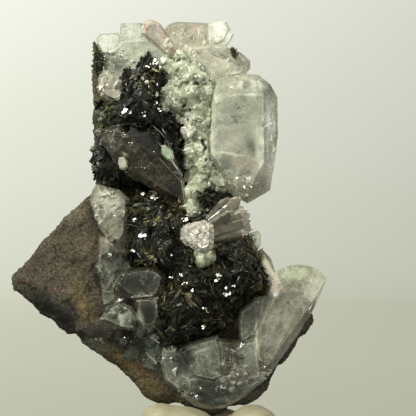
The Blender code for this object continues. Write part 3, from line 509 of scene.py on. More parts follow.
upperQuartz = {
    **quartz, "ground": "#A9AA99", "edges": 0.16,
    "zones": [
        ("right low", 22.8, 65.4, 2.6, 5.4, 0, "#E4E4D8", 0.9),
        ("left wall", 9.9, 76.0, 0.8, 8.6, 0, "#E4E8D6", 1.0),
        ("left margin", 10.8, 76.0, 1.2, 8.0, 0, "#B4B9A4", 0.85),
        ("pane", 16.6, 74.5, 6.2, 7.4, 0, "#A9AB99", 0.4),
        ("pane left", 12.4, 76.7, 2.0, 4.6, 0, "#B8B7A6", 0.55),
        ("pane middle", 16.6, 77.2, 3.6, 3.6, 0, "#A3A795", 0.35),
        ("milky lump", 14.2, 70.9, 3.6, 2.8, 0, "#B6B3A4", 0.7),
        ("slope left", 14.4, 83.7, 2.4, 1.9, 0, "#A9A696", 0.6),
        ("slope", 19.0, 83.3, 2.9, 2.2, 0, "#A3A397", 0.8),
        ("slope edge", 18.9, 81.1, 3.0, 0.25, 0, "#DCDCD2", 1.0),
        ("corner facet", 23.2, 82.6, 1.3, 2.4, 0, "#83867A", 0.15),
        ("right field", 21.6, 69.0, 2.8, 6.4, 0, "#CFD0C2", 0.75),
        # Painted highlight: this flank faces away from the lamp, and is painted near white as if lit
        ("strip", 22.9, 75.7, 1.2, 4.4, 0, "#F4F5EC", 0.85),
        ("edge line", 24.3, 71.1, 0.3, 9.0, 0, "#A39D88", 0.6),
        ("dark triangle", 18.4, 69.3, 1.0, 2.5, 18, "#565B4E", 0.4),
        ("low green", 12.4, 64.6, 3.6, 2.6, 0, "#62685A", 0.55),
        ("low beige", 16.9, 65.5, 2.2, 3.0, 0, "#A09986", 0.6),
        ("bottom", 19.8, 60.7, 3.6, 3.2, 0, "#A3A294", 0.6),
        ("lump edge", 13.9, 68.0, 3.0, 0.34, -10, "#DDD8CA", 0.9),
        ("clear cube", -13.5, 93.2, 3.1, 2.7, 0, "#ECEDE5", 0.7),
        ("clear cap", -8.3, 95.9, 3.1, 2.7, 0, "#E8EADF", 0.55),
        ("grey corner", -12.2, 88.4, 2.9, 2.2, 0, "#4E5344", 0.5),
        ("milky body", -7.4, 91.3, 5.0, 2.7, 0, "#BCBFAF", 0.65),
        ("body green", -4.6, 88.9, 2.4, 1.6, -30, "#A2A893", 0.5),
        ("pink patch", -12.6, 82.4, 3.6, 4.0, 10, "#B4AFA1", 0.85),
        ("rimmed crystal", -2.3, 95.0, 4.5, 2.0, -48, "#CDC3B7", 0.45),
        ("beige crest", 4.3, 93.2, 5.4, 4.8, 0, "#B3AD9C", 0.7),
        ("crest pink", 6.8, 96.0, 2.2, 1.6, 0, "#CBBBB0", 0.7),
        ("bright crystal", 11.7, 95.4, 2.9, 2.7, 0, "#EFEFE9", 0.9),
        ("crest under", 11.6, 89.2, 6.4, 2.4, -10, "#C0BBA9", 0.65),
        ("dark seam", 13.5, 89.3, 4.6, 0.3, -28, "#7E8076", 0.4),
        ("seam edge", 16.2, 86.6, 3.0, 0.3, 12, "#E3DFD1", 0.9),
        ("rim line", -4.9, 95.9, 0.3, 2.0, 10, "#96685A", 0.9),
        ("rim line top", -3.2, 97.6, 1.3, 0.25, 0, "#A87E70", 0.9),
        ("rim line right", -0.2, 94.4, 0.28, 3.2, 36, "#A07062", 0.9),
        ("rim foot", -2.2, 92.6, 2.4, 0.28, -35, "#B39284", 0.9),
    ],
    "fleckSize": 0.24,
    "rough": [
        ("patch", -12.6, 82.4, 3.8, 4.4, 10, 0.55), ("crest", 4.3, 92.6, 5.6, 4.6, 0, 0.4),
        ("low", 16.0, 61.0, 8.0, 3.4, 0, 0.45), ("body", -9.0, 89.5, 6.0, 2.6, 0, 0.45),
        ("slope", 17.3, 83.4, 5.4, 1.8, 0, 0.45), ("under", 13.0, 88.7, 6.0, 2.2, -15, 0.4),
        ("strip", 23.0, 71.0, 1.9, 8.4, 0, 0.9),
    ],
    "streaks": [("slope", 17.3, 83.2, 5.0, 2.2, 0, 88), ("strip", 23.2, 70.0, 2.2, 9.5, 0, 97)],
    "flecks": [
        (-4.8, 97.6), (-5.3, 96.9), (-4.7, 96.2), (-4.5, 95.7), (-2.7, 96.6), (-1.6, 94.9), (-0.9, 94.0),
        (0.0, 93.5), (0.9, 91.9), (1.1, 91.2), (-0.3, 91.1), (0.7, 90.4),
    ],
}
lowerLeftQuartz = {
    **quartz, "ground": "#7F7D6D", "edges": 0.16, "paler": 1.0, "frosty": 0.6, "haze": "#A9AD97",
    "density": 40.0,
    "zones": [
        ("upright", -13.1, 56.9, 3.1, 3.6, 0, "#D4D0C4", 0.9),
        ("upright low", -12.6, 49.6, 2.7, 3.6, 0, "#9C988A", 0.75),
        ("shaded", -11.7, 44.6, 3.6, 2.2, 0, "#45473B", 0.2),
        ("strip", -14.0, 39.6, 1.8, 5.0, 0, "#5C6155", 0.5),
        ("grey crystal", -5.9, 38.9, 5.9, 4.0, 0, "#33342B", 0.2),
        ("grey top", -6.4, 41.4, 4.0, 0.8, 4, "#54554A", 0.4),
        # Painted highlight along the grey crystal's lower edge
        ("grey crystal lower highlight", -5.4, 35.3, 2.7, 0.3, 8, "#D8D6C8", 1.0),
        ("stump", -4.5, 31.9, 2.7, 2.9, 0, "#12130D", 0.1),
        ("stump edge", -2.4, 32.6, 0.3, 2.4, 0, "#3C3D34", 0.8),
        ("pale foot", -11.5, 31.1, 3.1, 2.2, 0, "#666B5B", 0.6),
        ("green spot", -9.9, 32.6, 0.5, 0.8, 0, "#2E3312", 1.0),
        ("foot shard", -6.3, 31.1, 0.9, 1.8, 20, "#A2A294", 0.7),
    ],
    "rough": [
        ("upright", -13.1, 55.5, 3.6, 6.0, 0, 0.8), ("middle", -12.8, 42.0, 3.6, 6.4, 0, 1.2),
        ("foot", -11.5, 32.0, 4.0, 4.0, 0, 0.2),
    ],
}
lowerRightQuartz = {
    **quartz, "ground": "#86877A", "edges": 0.14, "cracks": 0.22,
    "zones": [
        ("face", 25.4, 29.0, 5.6, 9.0, -22, "#A29E90", 0.8),
        ("fin", 29.0, 41.2, 4.8, 2.0, 0, "#C6C9B2", 0.7),
        ("lobe", 33.0, 37.6, 2.2, 3.8, -25, "#CBC9BA", 0.75),
        # Painted highlight along the plate's right edge
        ("lobe edge highlight", 34.1, 36.9, 2.8, 0.28, 66, "#F4F3EA", 1.0),
        ("dark flank", 31.3, 31.0, 1.1, 3.6, -28, "#87897A", 0.4),
        ("pink spot", 23.6, 37.8, 1.2, 1.7, 0, "#CDBDB3", 0.85),
        # Painted highlight on the pink spot
        ("highlight spot", 24.1, 36.4, 0.5, 0.4, 0, "#FFFFFF", 1.0),
        ("side crystal", 18.4, 32.0, 2.8, 4.6, -22, "#5C5F51", 0.35),
        ("pale vein", 19.9, 25.2, 0.35, 5.4, 3, "#CFCCBD", 1.0),
        ("vein top", 21.4, 31.6, 0.3, 3.6, -24, "#A9A798", 0.9),
        ("blue patch", 17.6, 24.3, 1.8, 3.0, 0, "#8A8F85", 0.55),
        ("foot right", 22.5, 19.8, 2.9, 2.3, 0, "#85857A", 0.55),
        ("brown seam", 14.0, 22.7, 1.9, 4.0, 0, "#4C4533", 0.4),
        ("sparkle", 15.6, 17.6, 2.8, 2.0, 0, "#76736A", 0.5),
        ("big low crystal", 8.5, 22.1, 4.0, 4.0, 0, "#7D8073", 0.55),
        ("low crystal edge", 7.4, 24.0, 3.4, 0.3, 22, "#9B9C90", 0.9),
        ("left low crystal", 3.6, 22.4, 2.2, 3.0, 0, "#454A40", 0.2),
        ("round base", 9.4, 13.6, 9.0, 4.0, 0, "#363B31", 0.45),
        ("base wisps", 6.6, 15.6, 3.0, 0.5, -24, "#656A5E", 0.6),
        ("base wisps low", 12.8, 13.2, 3.4, 0.5, 16, "#5E6357", 0.6),
        ("mossy crystal", 14.4, 27.2, 1.8, 2.2, 0, "#3D3E2D", 0.4),
        ("white blade", 22.5, 41.8, 1.3, 3.2, 30, "#EBE7DC", 1.0),
        ("beige blade", 23.3, 42.0, 5.2, 0.4, -60, "#C9B99E", 1.0),
    ],
    "rough": [
        ("sparkle", 15.0, 17.6, 4.0, 2.6, 0, 0.5), ("base", 9.4, 14.4, 8.8, 3.4, 0, 0.3),
        ("seam", 14.4, 23.0, 2.0, 5.0, 0, 0.6), ("foot", 22.4, 20.6, 2.6, 3.0, 0, 0.4),
        ("side", 17.6, 25.6, 2.4, 3.0, 0, 0.5),
    ],
    "streaks": [("plate", 26.5, 30.5, 8.0, 12.0, -20, 62), ("base", 9.4, 14.5, 9.0, 4.4, 0, -24)],
    "streakDepth": 0.45,
}
smokyQuartz = {
    **quartz, "grid": 0.2, "ground": "#897C64", "clear": 0.97, "milky": 0.3, "milk": 0.0, "paler": 1.0,
    "frosty": 0.65, "cracks": 0.35, "haze": "#A08F73", "density": 60.0, "facetSizes": (1.8, 0.7),
    "edges": 0.2,
    "zones": [
        ("grey end", -12.4, 71.0, 2.4, 2.0, 0, "#5B5F4F", 0.5),
        ("green mottle", -10.0, 71.6, 2.2, 1.2, -10, "#454A3A", 0.3),
        ("brown band", -5.6, 66.6, 6.4, 1.9, -42, "#6B604C", 0.35),
        ("brown low", -1.2, 61.6, 3.2, 1.3, -50, "#5A513F", 0.3),
        ("dark top", -6.6, 74.0, 6.4, 1.7, 8, "#0E0F09", 0.1),
        ("dark upper", -1.6, 70.8, 3.8, 2.6, -42, "#0E0F09", 0.0),
        ("dark middle", -4.8, 71.6, 2.4, 1.8, 0, "#0E0F09", 0.1),
        ("dark low", 1.8, 65.4, 3.0, 1.3, -48, "#12130C", 0.0),
        ("pale mottle", -7.4, 69.2, 1.8, 0.7, -42, "#8A8270", 0.5),
        ("clear end", 1.8, 59.4, 1.8, 2.2, 0, "#4A463A", 0.0),
        # Painted highlights along the ridge, where the prism's edges catch the light
        ("ridge top highlight", -1.4, 73.3, 0.25, 3.6, 34, "#D9D2C2", 1.0),
        ("ridge low highlight", 1.2, 66.0, 0.25, 4.6, 36, "#C9C2B2", 1.0),
        ("ridge end highlight", 4.1, 58.6, 0.22, 2.6, -5, "#D9D2C2", 1.0),
        ("lower edge", -2.2, 61.2, 0.3, 6.4, 55, "#6A6150", 0.4),
        # Painted highlight along a curved edge
        ("curved edge highlight", -9.4, 67.9, 0.9, 0.25, -30, "#E6E0D2", 1.0),
        ("upper edge", -8.0, 74.6, 4.4, 0.3, 7, "#5E5748", 0.4),
    ],
    "rough": [("end", -13.0, 71.5, 2.8, 2.8, 0, 0.7), ("face", -5.0, 66.6, 9.0, 3.6, -42, 0.4)],
    "streaks": [("length", -4.0, 67.0, 12.0, 12.0, 0, -42)],
}
harlequinQuartz = {
    **quartz, "grid": 0.16, "ground": "#B7AA98", "facetSizes": (1.1, 0.5), "cloud": 0.8, "mottle": 0.45,
    "polish": 0.12, "crackSize": 1.6, "haze": "#B9A893", "density": 40.0,
    "zones": [("flecked", 6.6, 49.2, 4.6, 4.4, 0, "#BDBAB1", 0.9)],
    "rough": [("flecked", 6.6, 49.2, 4.4, 4.2, 0, 1.0)], "streaks": [("fan", 14.6, 53.5, 6.4, 6.0, 0, 30)],
    "fleckSize": 0.2,
    "flecks": [
        (3.9, 49.5), (5.6, 51.8), (6.1, 49.9), (8.8, 46.5), (9.2, 46.6), (8.5, 51.2), (12.7, 53.7),
        (12.8, 53.0), (14.4, 52.6), (10.8, 52.8), (7.3, 50.6), (4.8, 50.9), (7.9, 48.4), (6.6, 47.9),
    ],
}
smallQuartz = {
    **quartz, "grid": 0.16, "ground": "#B4B3A2", "crackSize": 1.4, "milk": 0.6,
    "zones": [
        ("green pair", 0.2, 68.0, 2.6, 3.0, 0, "#A5B5A0", 0.6),
        ("green corner", 19.5, 48.4, 3.4, 3.6, 0, "#DCE6D2", 0.85),
    ],
}


def sharpShare(points, faces):
    # How sharp the solid is at each corner: where its faces point apart, their mean normal is short
    normal = unit(np.cross(*(points[faces[:, i + 2]] - points[faces[:, i]] for i in (0, 1))))
    corner = faces.ravel()
    count = np.bincount(corner, minlength=len(points))
    total = [np.bincount(corner, np.repeat(normal[:, i], 4), len(points)) for i in range(3)]
    return np.clip((1 - np.linalg.norm(np.stack(total, axis=1), axis=1) / np.maximum(count, 1)) * 6, 0, 1)


def streakNoise(points, angle, seed):
    # Noise drawn out eight times along one way in the front view
    turn = math.radians(angle)
    along = points[:, 0] * math.cos(turn) + points[:, 2] * math.sin(turn)
    across = points[:, 2] * math.cos(turn) - points[:, 0] * math.sin(turn)
    return layeredNoise(np.stack([along / 8, points[:, 1] / 3, across], axis=1), 0.9, seed)


def healedCracks(points, size, seed):
    # Thin bright lines where two warped cells meet, here and there
    bend = np.stack([layeredNoise(points, size * 0.8, seed + i) for i in range(3)], axis=1)
    first, second, _, _ = nearestCells(points + bend * size * 0.45 * mm, size, seed)
    line = np.clip(1 - (second - first) / 0.07, 0, 1)
    return line * np.clip(smoothNoise(points, size * 1.5, seed + 9) * 3 + 0.6, 0, 1)


def quartzPiece(name, points, faces, finishes, tint, level, replaced=(), smooth=False):
    # A piece of quartz: its tint, and which of the four finishes each face has. Light gets through quartz,
    # so it casts no shadow.
    piece = madePiece(name, points, faces, finishes, replaced, smooth)
    keepColour(piece, "tint", np.clip(tint, 0, 0.97))
    piece.data.polygons.foreach_set("material_index", np.clip(level, 0, 3).astype(np.int32))
    piece.visible_shadow = False
    return piece


def makeCrystal(name, node, look, seed, finishes):
    # A crisp skin of the solid, moved by slow waves, and by small broken facets in its rough places
    points, faces, normals = evenSkin(node, look["grid"], True)
    tint = tintedBy(points, look["ground"], look["zones"], 0.7)
    milk = np.full(len(points), look["milk"])
    for mark, share in softOvals(points, look["zones"]):
        milk += (mark[7] - milk) * share
    for mark, share in softOvals(points, look["streaks"]):
        streak = np.clip(streakNoise(points, mark[6], seed) * 1.5, *look["streakRange"])
        tint *= 1 + (streak * share * look["streakDepth"])[:, None]
    cracks = healedCracks(points, look["crackSize"], seed)
    warm = healedCracks(points, look["crackSize"] * 0.7, seed + 20)
    # Sharp edges are painted pale, a painted highlight where they catch the light, and made milkier
    edge = sharpShare(points, faces) * np.clip(0.7 + smoothNoise(points, 2.0, seed + 30), 0.1, 1)
    bright = np.clip(cracks * look["cracks"] + edge * look["edges"], 0, 1)
    tint += (hexColour(look["crackAndEdgeHighlightTint"]) - tint) * bright[:, None]
    tint += (hexColour(look["warmTint"]) - tint) * (warm * look["cracks"])[:, None]
    milk += edge * look["edgeMilk"]
    broken = placeShare(points, look["rough"])
    facets, chips = (brokenFacets(points, size, seed + 5) for size in look["facetSizes"])
    tint *= 1 + (broken * np.clip(facets + 0.6 * chips, -0.6, 0.8) * look["facetTint"])[:, None]
    wander = look["fleckWander"] * smoothNoise(points, 0.4, seed)
    for x, z in look["flecks"]:
        away = awayFrom(points, x, z) + wander
        red = np.clip((look["fleckSize"] - away) / look["fleckEdge"], 0, 1) * (normals[:, 1] < 0.2)
        tint += (hexColour(look["fleckTint"]) - tint) * red[:, None] * 0.8
        milk += red * look["fleckMilk"]
    facetDepth, chipDepth = look["facetDepths"]
    move = look["uneven"] * layeredNoise(points, look["waveSize"], seed)
    move += broken * (facetDepth * facets + chipDepth * chips)
    points += normals * (move * mm)[:, None]
    middle = points[faces].mean(axis=1)
    calm = 0.4 + 0.6 * np.clip(broken, 0, 1)[faces].mean(axis=1)
    cloud = look["cloudMilk"] * layeredNoise(middle, look["cloudSize"], seed + 2)
    grain = look["grainMilk"] * smoothNoise(middle, look["grainSize"], seed + 3)
    level = milk[faces].mean(axis=1) + calm * (cloud + grain)
    chance = np.random.default_rng(seed).uniform(-look["faceMilk"], look["faceMilk"], len(faces))
    level += look["crackMilk"] * cracks[faces].mean(axis=1) + chance
    crystal = quartzPiece(name, points, faces, finishes, tint, level * 4, [node], True)
    crystal.data.set_sharp_from_angle(angle=math.radians(look["creaseAngle"]))


# Small crystals that grow on the solids: a name, the nodes they stand on, their place, half its width and
# height, its turn, how many, their length, radius, way and tint, and how milky they are
upperDruse = [
    ("crest", ["upper_quartz"], 4.5, 93.0, 5.0, 3.6, 0,
     20, (0.9, 2.5), (0.38, 1.01), (0.1, -0.7, 0.6), "#D6D1C3", 0.5),
    ("left body", ["upper_quartz"], -10.6, 88.6, 3.4, 2.4, 0,
     12, (0.8, 2.0), (0.38, 0.87), (-0.3, -0.7, 0.4), "#9FA392", 0.4),
    ("pink patch", ["upper_quartz", "matrix_rock"], -12.8, 82.0, 3.4, 4.0, 10,
     18, (0.9, 2.2), (0.38, 1.01), (-0.2, -0.8, 0.3), "#B1AC9E", 0.7),
    ("left edge", ["matrix_rock", "upper_epidote"], -15.2, 71.0, 2.2, 8.5, 0,
     12, (1.1, 3.0), (0.50, 1.30), (-0.4, -0.7, 0.2), "#6A705E", 0.55),
    ("upper shards", ["upper_epidote"], -4.4, 84.4, 1.8, 0.8, -10,
     5, (1.1, 2.5), (0.31, 0.72), (0.8, -0.5, 0.2), "#C9C8BC", 0.5),
    ("crust edge", ["prehnite_crust", "upper_epidote"], -0.2, 79.5, 1.8, 3.2, 35,
     13, (0.9, 2.0), (0.44, 1.01), (-0.4, -0.8, 0.1), "#B9BDAC", 0.5),
    ("white tuft", ["prehnite_crust", "upper_epidote"], 4.4, 74.2, 1.7, 2.4, 0,
     15, (1.1, 2.8), (0.50, 1.16), (-0.3, -0.8, 0.2), "#DAD6CA", 0.6),
    ("table foot", ["upper_quartz"], 14.6, 60.0, 5.4, 2.6, 15,
     14, (0.9, 2.5), (0.38, 1.16), (0.1, -0.8, -0.3), "#9A9887", 0.5),
    ("low corner", ["upper_quartz", "prehnite_crust", "upper_epidote", "lower_epidote"],
     11.2, 61.6, 2.6, 2.2, 0, 12, (2.0, 4.2), (1.0, 1.9), (0.2, -0.9, 0.1), "#888C77", 0.9),
]
lowerDruse = [
    ("upright", ["lower_left_quartz"], -13.2, 55.6, 2.8, 4.8, 0,
     12, (0.8, 2.2), (0.38, 1.16), (0.1, -0.8, 0.3), "#A19D8F", 0.7),
    ("left middle", ["lower_left_quartz", "matrix_rock"], -12.4, 44.0, 3.0, 5.0, 0,
     7, (1.1, 3.0), (0.50, 1.30), (0.3, -0.8, 0.1), "#4B4E42", 0.4),
    ("left foot", ["lower_left_quartz", "matrix_rock"], -12.8, 31.4, 4.6, 4.0, 0,
     7, (1.1, 3.2), (0.50, 1.45), (-0.1, -0.8, -0.2), "#474C41", 0.8),
    ("green band", ["matrix_rock"], -16.6, 25.2, 4.6, 1.6, -12,
     9, (0.7, 1.9), (0.38, 1.01), (-0.2, -0.8, -0.3), "#4C5247", 0.5),
    ("under foot", ["matrix_rock"], -4.0, 25.4, 6.0, 4.6, -30,
     9, (1.1, 3.5), (0.50, 1.59), (0.0, -0.9, -0.2), "#44483F", 0.4),
    ("big under foot", ["matrix_rock"], -4.0, 24.2, 5.2, 4.2, -38,
     12, (3.8, 6.8), (1.5, 2.7), (0.1, -0.9, -0.3), "#383D34", 1.0),
    ("low left", ["lower_right_quartz", "matrix_rock"], 1.6, 19.6, 3.6, 5.4, 0,
     10, (1.1, 3.2), (0.50, 1.45), (-0.2, -0.9, -0.1), "#4B4F46", 0.35),
    ("base", ["lower_right_quartz", "matrix_rock"], 10.0, 13.6, 8.0, 2.6, 0,
     3, (0.9, 2.8), (0.50, 1.45), (0.0, -0.8, -0.5), "#4A4F47", 0.35),
    ("sparkle", ["lower_right_quartz"], 14.6, 18.4, 4.0, 3.0, 0,
     18, (0.7, 2.0), (0.31, 0.87), (0.2, -0.8, 0.2), "#8E8B7F", 0.6),
    ("seam", ["lower_right_quartz"], 14.6, 24.2, 2.2, 3.6, 0,
     16, (0.9, 2.5), (0.38, 1.16), (0.1, -0.9, 0.2), "#453F30", 0.5),
    ("right heel", ["lower_right_quartz", "matrix_rock"], 22.0, 19.2, 3.0, 3.6, 40,
     9, (0.9, 2.5), (0.50, 1.16), (0.5, -0.8, -0.1), "#87867A", 0.4),
]


fan = {
    "prisms": [  # side by side: root and tip in millimetres, radius, and how light it is
        ((9.2, -9.8, 52.9), (13.8, -9.2, 58.2), 1.3, 0.5),
        ((9.6, -10.6, 52.0), (16.4, -9.6, 57.9), 1.6, 0.6),
        ((10.0, -11.6, 51.2), (17.9, -10.4, 55.2), 1.5, 1.1),
        ((10.0, -12.2, 50.2), (18.6, -10.8, 52.9), 1.6, 1.0),
        ((10.0, -11.8, 49.0), (18.0, -10.4, 50.4), 1.3, 0.8),
        ((9.9, -12.9, 51.8), (15.2, -12.2, 55.2), 1.2, 0.9),
    ],
    "rings": 24,  # along each prism, so that the stripes can follow it
    "stripes": ("#3F3A2E", "#938A78"), "uneven": 0.3, "twist": 0.15,
}


def makeFan(look, finishes):
    # Long slim prisms side by side, each with pale and dark stripes along it: rings at even steps from the
    # root to the shoulder, and a point
    roots, tips, radius, light = (np.array(part) for part in zip(*look["prisms"]))
    roots, tips, radius = roots * mm, tips * mm, radius * mm
    rings, count = look["rings"], len(roots)
    each = rings * 6 + 1  # corners of one prism
    length = np.linalg.norm(tips - roots, axis=1)
    way = unit(tips - roots)
    side = unit(np.cross(way, crossWay))
    halfway = wayToLamp() + [0, -1, 0]  # an edge and no face points this way, or it would mirror the lamp
    facing = np.arctan2((halfway * np.cross(side, way)).sum(axis=1), (halfway * side).sum(axis=1))
    turn = facing + look["twist"] * np.sin(np.arange(count) * 2.4)
    made, _ = pointedPrisms(roots, way, length, radius, turn)
    corners = made.reshape(-1, prismCorners, 3)
    share = np.linspace(0, 1, rings)[None, :, None, None]
    walls = corners[:, None, :6] * (1 - share) + corners[:, None, 6:12] * share
    points = np.concatenate([walls.reshape(count, -1, 3), corners[:, 12:]], axis=1).reshape(-1, 3)
    i, j = np.meshgrid(np.arange(rings - 1), np.arange(6), indexing="ij")
    k = (j + 1) % 6
    grid = np.stack([i * 6 + j, i * 6 + k, i * 6 + 6 + k, i * 6 + 6 + j], axis=2).reshape(-1, 4)
    last = (rings - 1) * 6
    cap = np.stack([last + np.arange(6), last + (np.arange(6) + 1) % 6, np.full(6, rings * 6)], axis=1)
    start = np.arange(count)[:, None, None] * each
    faces = (grid + start).reshape(-1, 4).tolist() + (cap + start).reshape(-1, 3).tolist()
    faces += (np.arange(5, -1, -1) + start[:, 0]).tolist()
    pick = np.tile(np.arange(6), len(points) // 6 + 1)[:len(points)]
    stripe = hashed(np.stack([pick, np.repeat(np.arange(count), each), pick * 0], axis=1), 5)
    dark, pale = (hexColour(code) for code in look["stripes"])
    tint = dark + (pale - dark) * (stripe ** 1.5)[:, None]
    tint *= (np.repeat(light, each) * (1 + look["uneven"] * smoothNoise(points, 1.2, 6)))[:, None]
    quartzPiece("fan_prisms", points, faces, finishes, tint, np.arange(len(faces)) % 3 + 1)


# Thin bright slivers along broken edges, many of them painted highlights where an edge catches the light: the
# node they lie on, the ends (x, z), the width and the tint
slivers = [
    # Painted highlights along the smoky prism's ridge
    ("smoky_quartz", (-4.0, 74.7), (-1.3, 72.4), 0.2, "#A8A192"),
    ("smoky_quartz", (-1.4, 72.4), (0.5, 69.8), 0.18, "#8F8878"),
    ("smoky_quartz", (-1.8, 66.8), (3.0, 61.7), 0.18, "#9E9686"),
    ("smoky_quartz", (3.0, 61.9), (3.7, 57.4), 0.22, "#B4AD9C"),
    ("lower_right_quartz", (20.6, 46.4), (25.6, 37.8), 0.4, "#B3A48B"),
    ("lower_right_quartz", (21.6, 44.0), (24.2, 39.8), 0.8, "#CBC6BA"),
    # Painted highlight along the plate's right edge
    ("lower_right_quartz", (31.6, 33.0), (34.9, 39.4), 0.34, "#F6F5EE"),
    # Painted highlight along the grey crystal's lower edge
    ("lower_left_quartz", (-8.0, 36.1), (-3.4, 36.4), 0.4, "#F0EEE2"),
    ("upper_quartz", (13.4, 88.0), (17.5, 86.4), 0.3, "#D9D4C5"),
    ("upper_quartz", (9.8, 90.4), (16.0, 87.6), 0.22, "#77796F"),
]


def frontOf(node, places):
    # Where a line from the front meets a CAD node at each place (x, z) in millimetres
    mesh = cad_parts[node].data
    corners, faces = [point.co for point in mesh.vertices], [list(face.vertices) for face in mesh.polygons]
    tree = BVHTree.FromPolygons(corners, faces)
    hits = [tree.ray_cast(Vector((x, -60, z)) * mm, Vector((0, 1, 0)))[0] for x, z in places]
    return np.array([hit for hit in hits if hit is not None])


def makeSlivers(table, finishes):
    # Each lath is laid on its solid from one end to the other, and left out where an end misses the solid
    rows = [(frontOf(row[0], row[1:3]), row[3], row[4]) for row in table]
    rows = [row for row in rows if len(row[0]) == 2]
    roots, tips = np.array([row[0] for row in rows]).transpose(1, 0, 2)
    width = np.array([row[1] for row in rows]) * mm
    length = np.linalg.norm(tips - roots, axis=1)
    facing = np.tile([0.0, -1.0, 0.0], (len(rows), 1))
    points, quads, caps = laths(roots, unit(tips - roots), facing, length, width, width * 0.6)
    faces = quads.tolist() + caps.tolist()
    tint = np.repeat([hexColour(row[2]) for row in rows], lathCorners, axis=0)
    quartzPiece("edge_slivers", points, faces, finishes, tint, np.full(len(faces), 3))
    print("slivers laid:", len(rows), "of", len(table))


druse = {"tries": 9000, "facing": -0.25, "outward": 0.5, "scatter": 0.35, "sunk": 0.45, "stubbiest": 1.6,
         "shades": (0.75, 1.25), "milkScatter": 0.4}


def makeDruse(title, table, finishes, firstSeed, look):
    # Each crystal is rooted a little below a front-facing place on its solids and leans as its group does
    points, faces, tints, levels = [], [], [], []
    start = 0
    for seed, row in enumerate(table, firstSeed):
        name, nodes, x, z, wide, high, turn, count, lengths, radii, way, tint, milk = row
        dice = np.random.default_rng(seed)
        found = [scatteredOn(node, look["tries"], seed) for node in nodes]
        places, normals = (np.concatenate(part) for part in zip(*found))
        share = next(softOvals(places, [(name, x, z, wide, high, turn)]))[1]
        seen = np.flatnonzero((share > dice.uniform(0.2, 0.8, len(share))) & (normals[:, 1] < look["facing"]))
        pick = dice.permutation(seen)[:count]
        lean = dice.normal(0, look["scatter"], (len(pick), 3))
        ways = unit(np.array(way) + normals[pick] * look["outward"] + lean)
        radius = dice.uniform(*radii, len(pick)) * mm
        length = np.maximum(dice.uniform(*lengths, len(pick)) * mm, radius * look["stubbiest"])
        roots = places[pick] - ways * (length * look["sunk"])[:, None]
        made, sides = pointedPrisms(roots, ways, length, radius, dice.uniform(0, 6, len(pick)))
        points.append(made)
        faces += [[corner + start for corner in face] for face in sides]
        start += len(made)
        shade = hexColour(tint) * dice.uniform(*look["shades"], (len(pick), 1))
        tints.append(np.repeat(shade, prismCorners, axis=0))
        level = (milk + dice.uniform(-look["milkScatter"], look["milkScatter"], len(pick))) * 4
        levels.append(np.concatenate([np.repeat(level, 6), np.repeat(level, 6), level]))  # walls, caps, ends
    points, tints, levels = (np.concatenate(parts) for parts in (points, tints, levels))
    quartzPiece(title, points, faces, finishes, tints, levels)


# The epidote

epidote = {
    "tones": [(0.0, "#090A06"), (1.0, "#484E20"), (0.35, "#17180F"), (0.58, "#37351F"), (0.76, "#6A6344"),
              (0.92, "#9D9476")],
    "polish": 0.25, "dull": 0.55, "brightest": 0.92, "coreGrid": 0.5, "coreRelief": 0.25, "sink": 0.35,
    "sheaf": 26, "sheafSize": 2.2, "spread": 0.35, "rooted": 0.4, "tilt": 0.45, "thickness": 0.45,
    # the piece, its number of blades, their length and width, how far they rise, how dark, how tangled
    "pieces": {
        "upper_epidote": ("upper_blades", 3200, (1.3, 3.8), (0.28, 1.1), 0.22, 3.6, 0.14),
        "lower_epidote": ("lower_blades", 6200, (1.5, 4.2), (0.2, 0.85), 0.26, 1.5, 0.13),
        "epidote_column": ("column_blades", 360, (0.8, 1.8), (0.2, 0.45), 0.45, 1.5, 0.15),
        "epidote_chip": ("chip_blades", 60, (0.5, 1.0), (0.2, 0.4), 0.45, 1.5, 0.15),
    },
    "specks": [  # where so large a share of the blades is olive
        ("column", -15.6, 89.6, 2.0, 3.6, 0, 0.5), ("left", -13.9, 76.2, 2.4, 3.0, 0, 0.6),
        ("tip", -6.4, 84.0, 0.7, 1.6, 0, 0.6), ("chip", 15.0, 90.6, 2.4, 2.4, 0, 0.8),
        ("low right", 20.6, 38.2, 1.6, 1.2, 0, 0.8),
    ],
    "bare": [("left edge", -17.0, 76.0, 2.2, 9.0, 0, 1.0)],  # where no blade stands
    "glintSize": (0.22, 1.2), "glintsEach": 4, "glintDepth": 0.2, "glintTone": 0.6, "glintShape": (0.35, 0.8),
    "glintAside": 0.36, "glintForward": (-1.0, -0.6), "glintUp": 0.22, "glintTilt": 0.1,
    # where the glints of each mass are
    "upper_epidote": [
        (-2.8, 88.3), (-2.1, 87.3), (-4.3, 87.5), (-2.8, 83.5), (-4.1, 83.0), (-2.6, 79.0), (-1.7, 77.8),
        (-9.6, 77.1), (-8.4, 77.2), (-5.0, 76.1), (-6.2, 77.4), (1.1, 70.3),
    ],
    "lower_epidote": [
        (-2.9, 59.2), (-5.6, 59.2), (-2.9, 57.8), (3.6, 53.1), (1.1, 51.4), (-4.7, 49.3), (-5.6, 49.7),
        (-7.4, 53.1), (0.9, 45.6), (2.7, 40.7), (0.7, 40.1), (4.0, 39.3), (5.6, 37.1), (10.8, 41.0),
        (11.1, 39.8), (14.8, 38.5), (12.9, 37.5), (15.5, 37.6), (13.7, 36.7), (13.7, 44.8), (15.4, 42.8),
        (17.7, 40.1), (9.0, 33.1), (8.3, 33.5), (4.7, 28.8), (8.1, 29.5), (12.0, 29.6), (-7.9, 45.9),
    ],
}


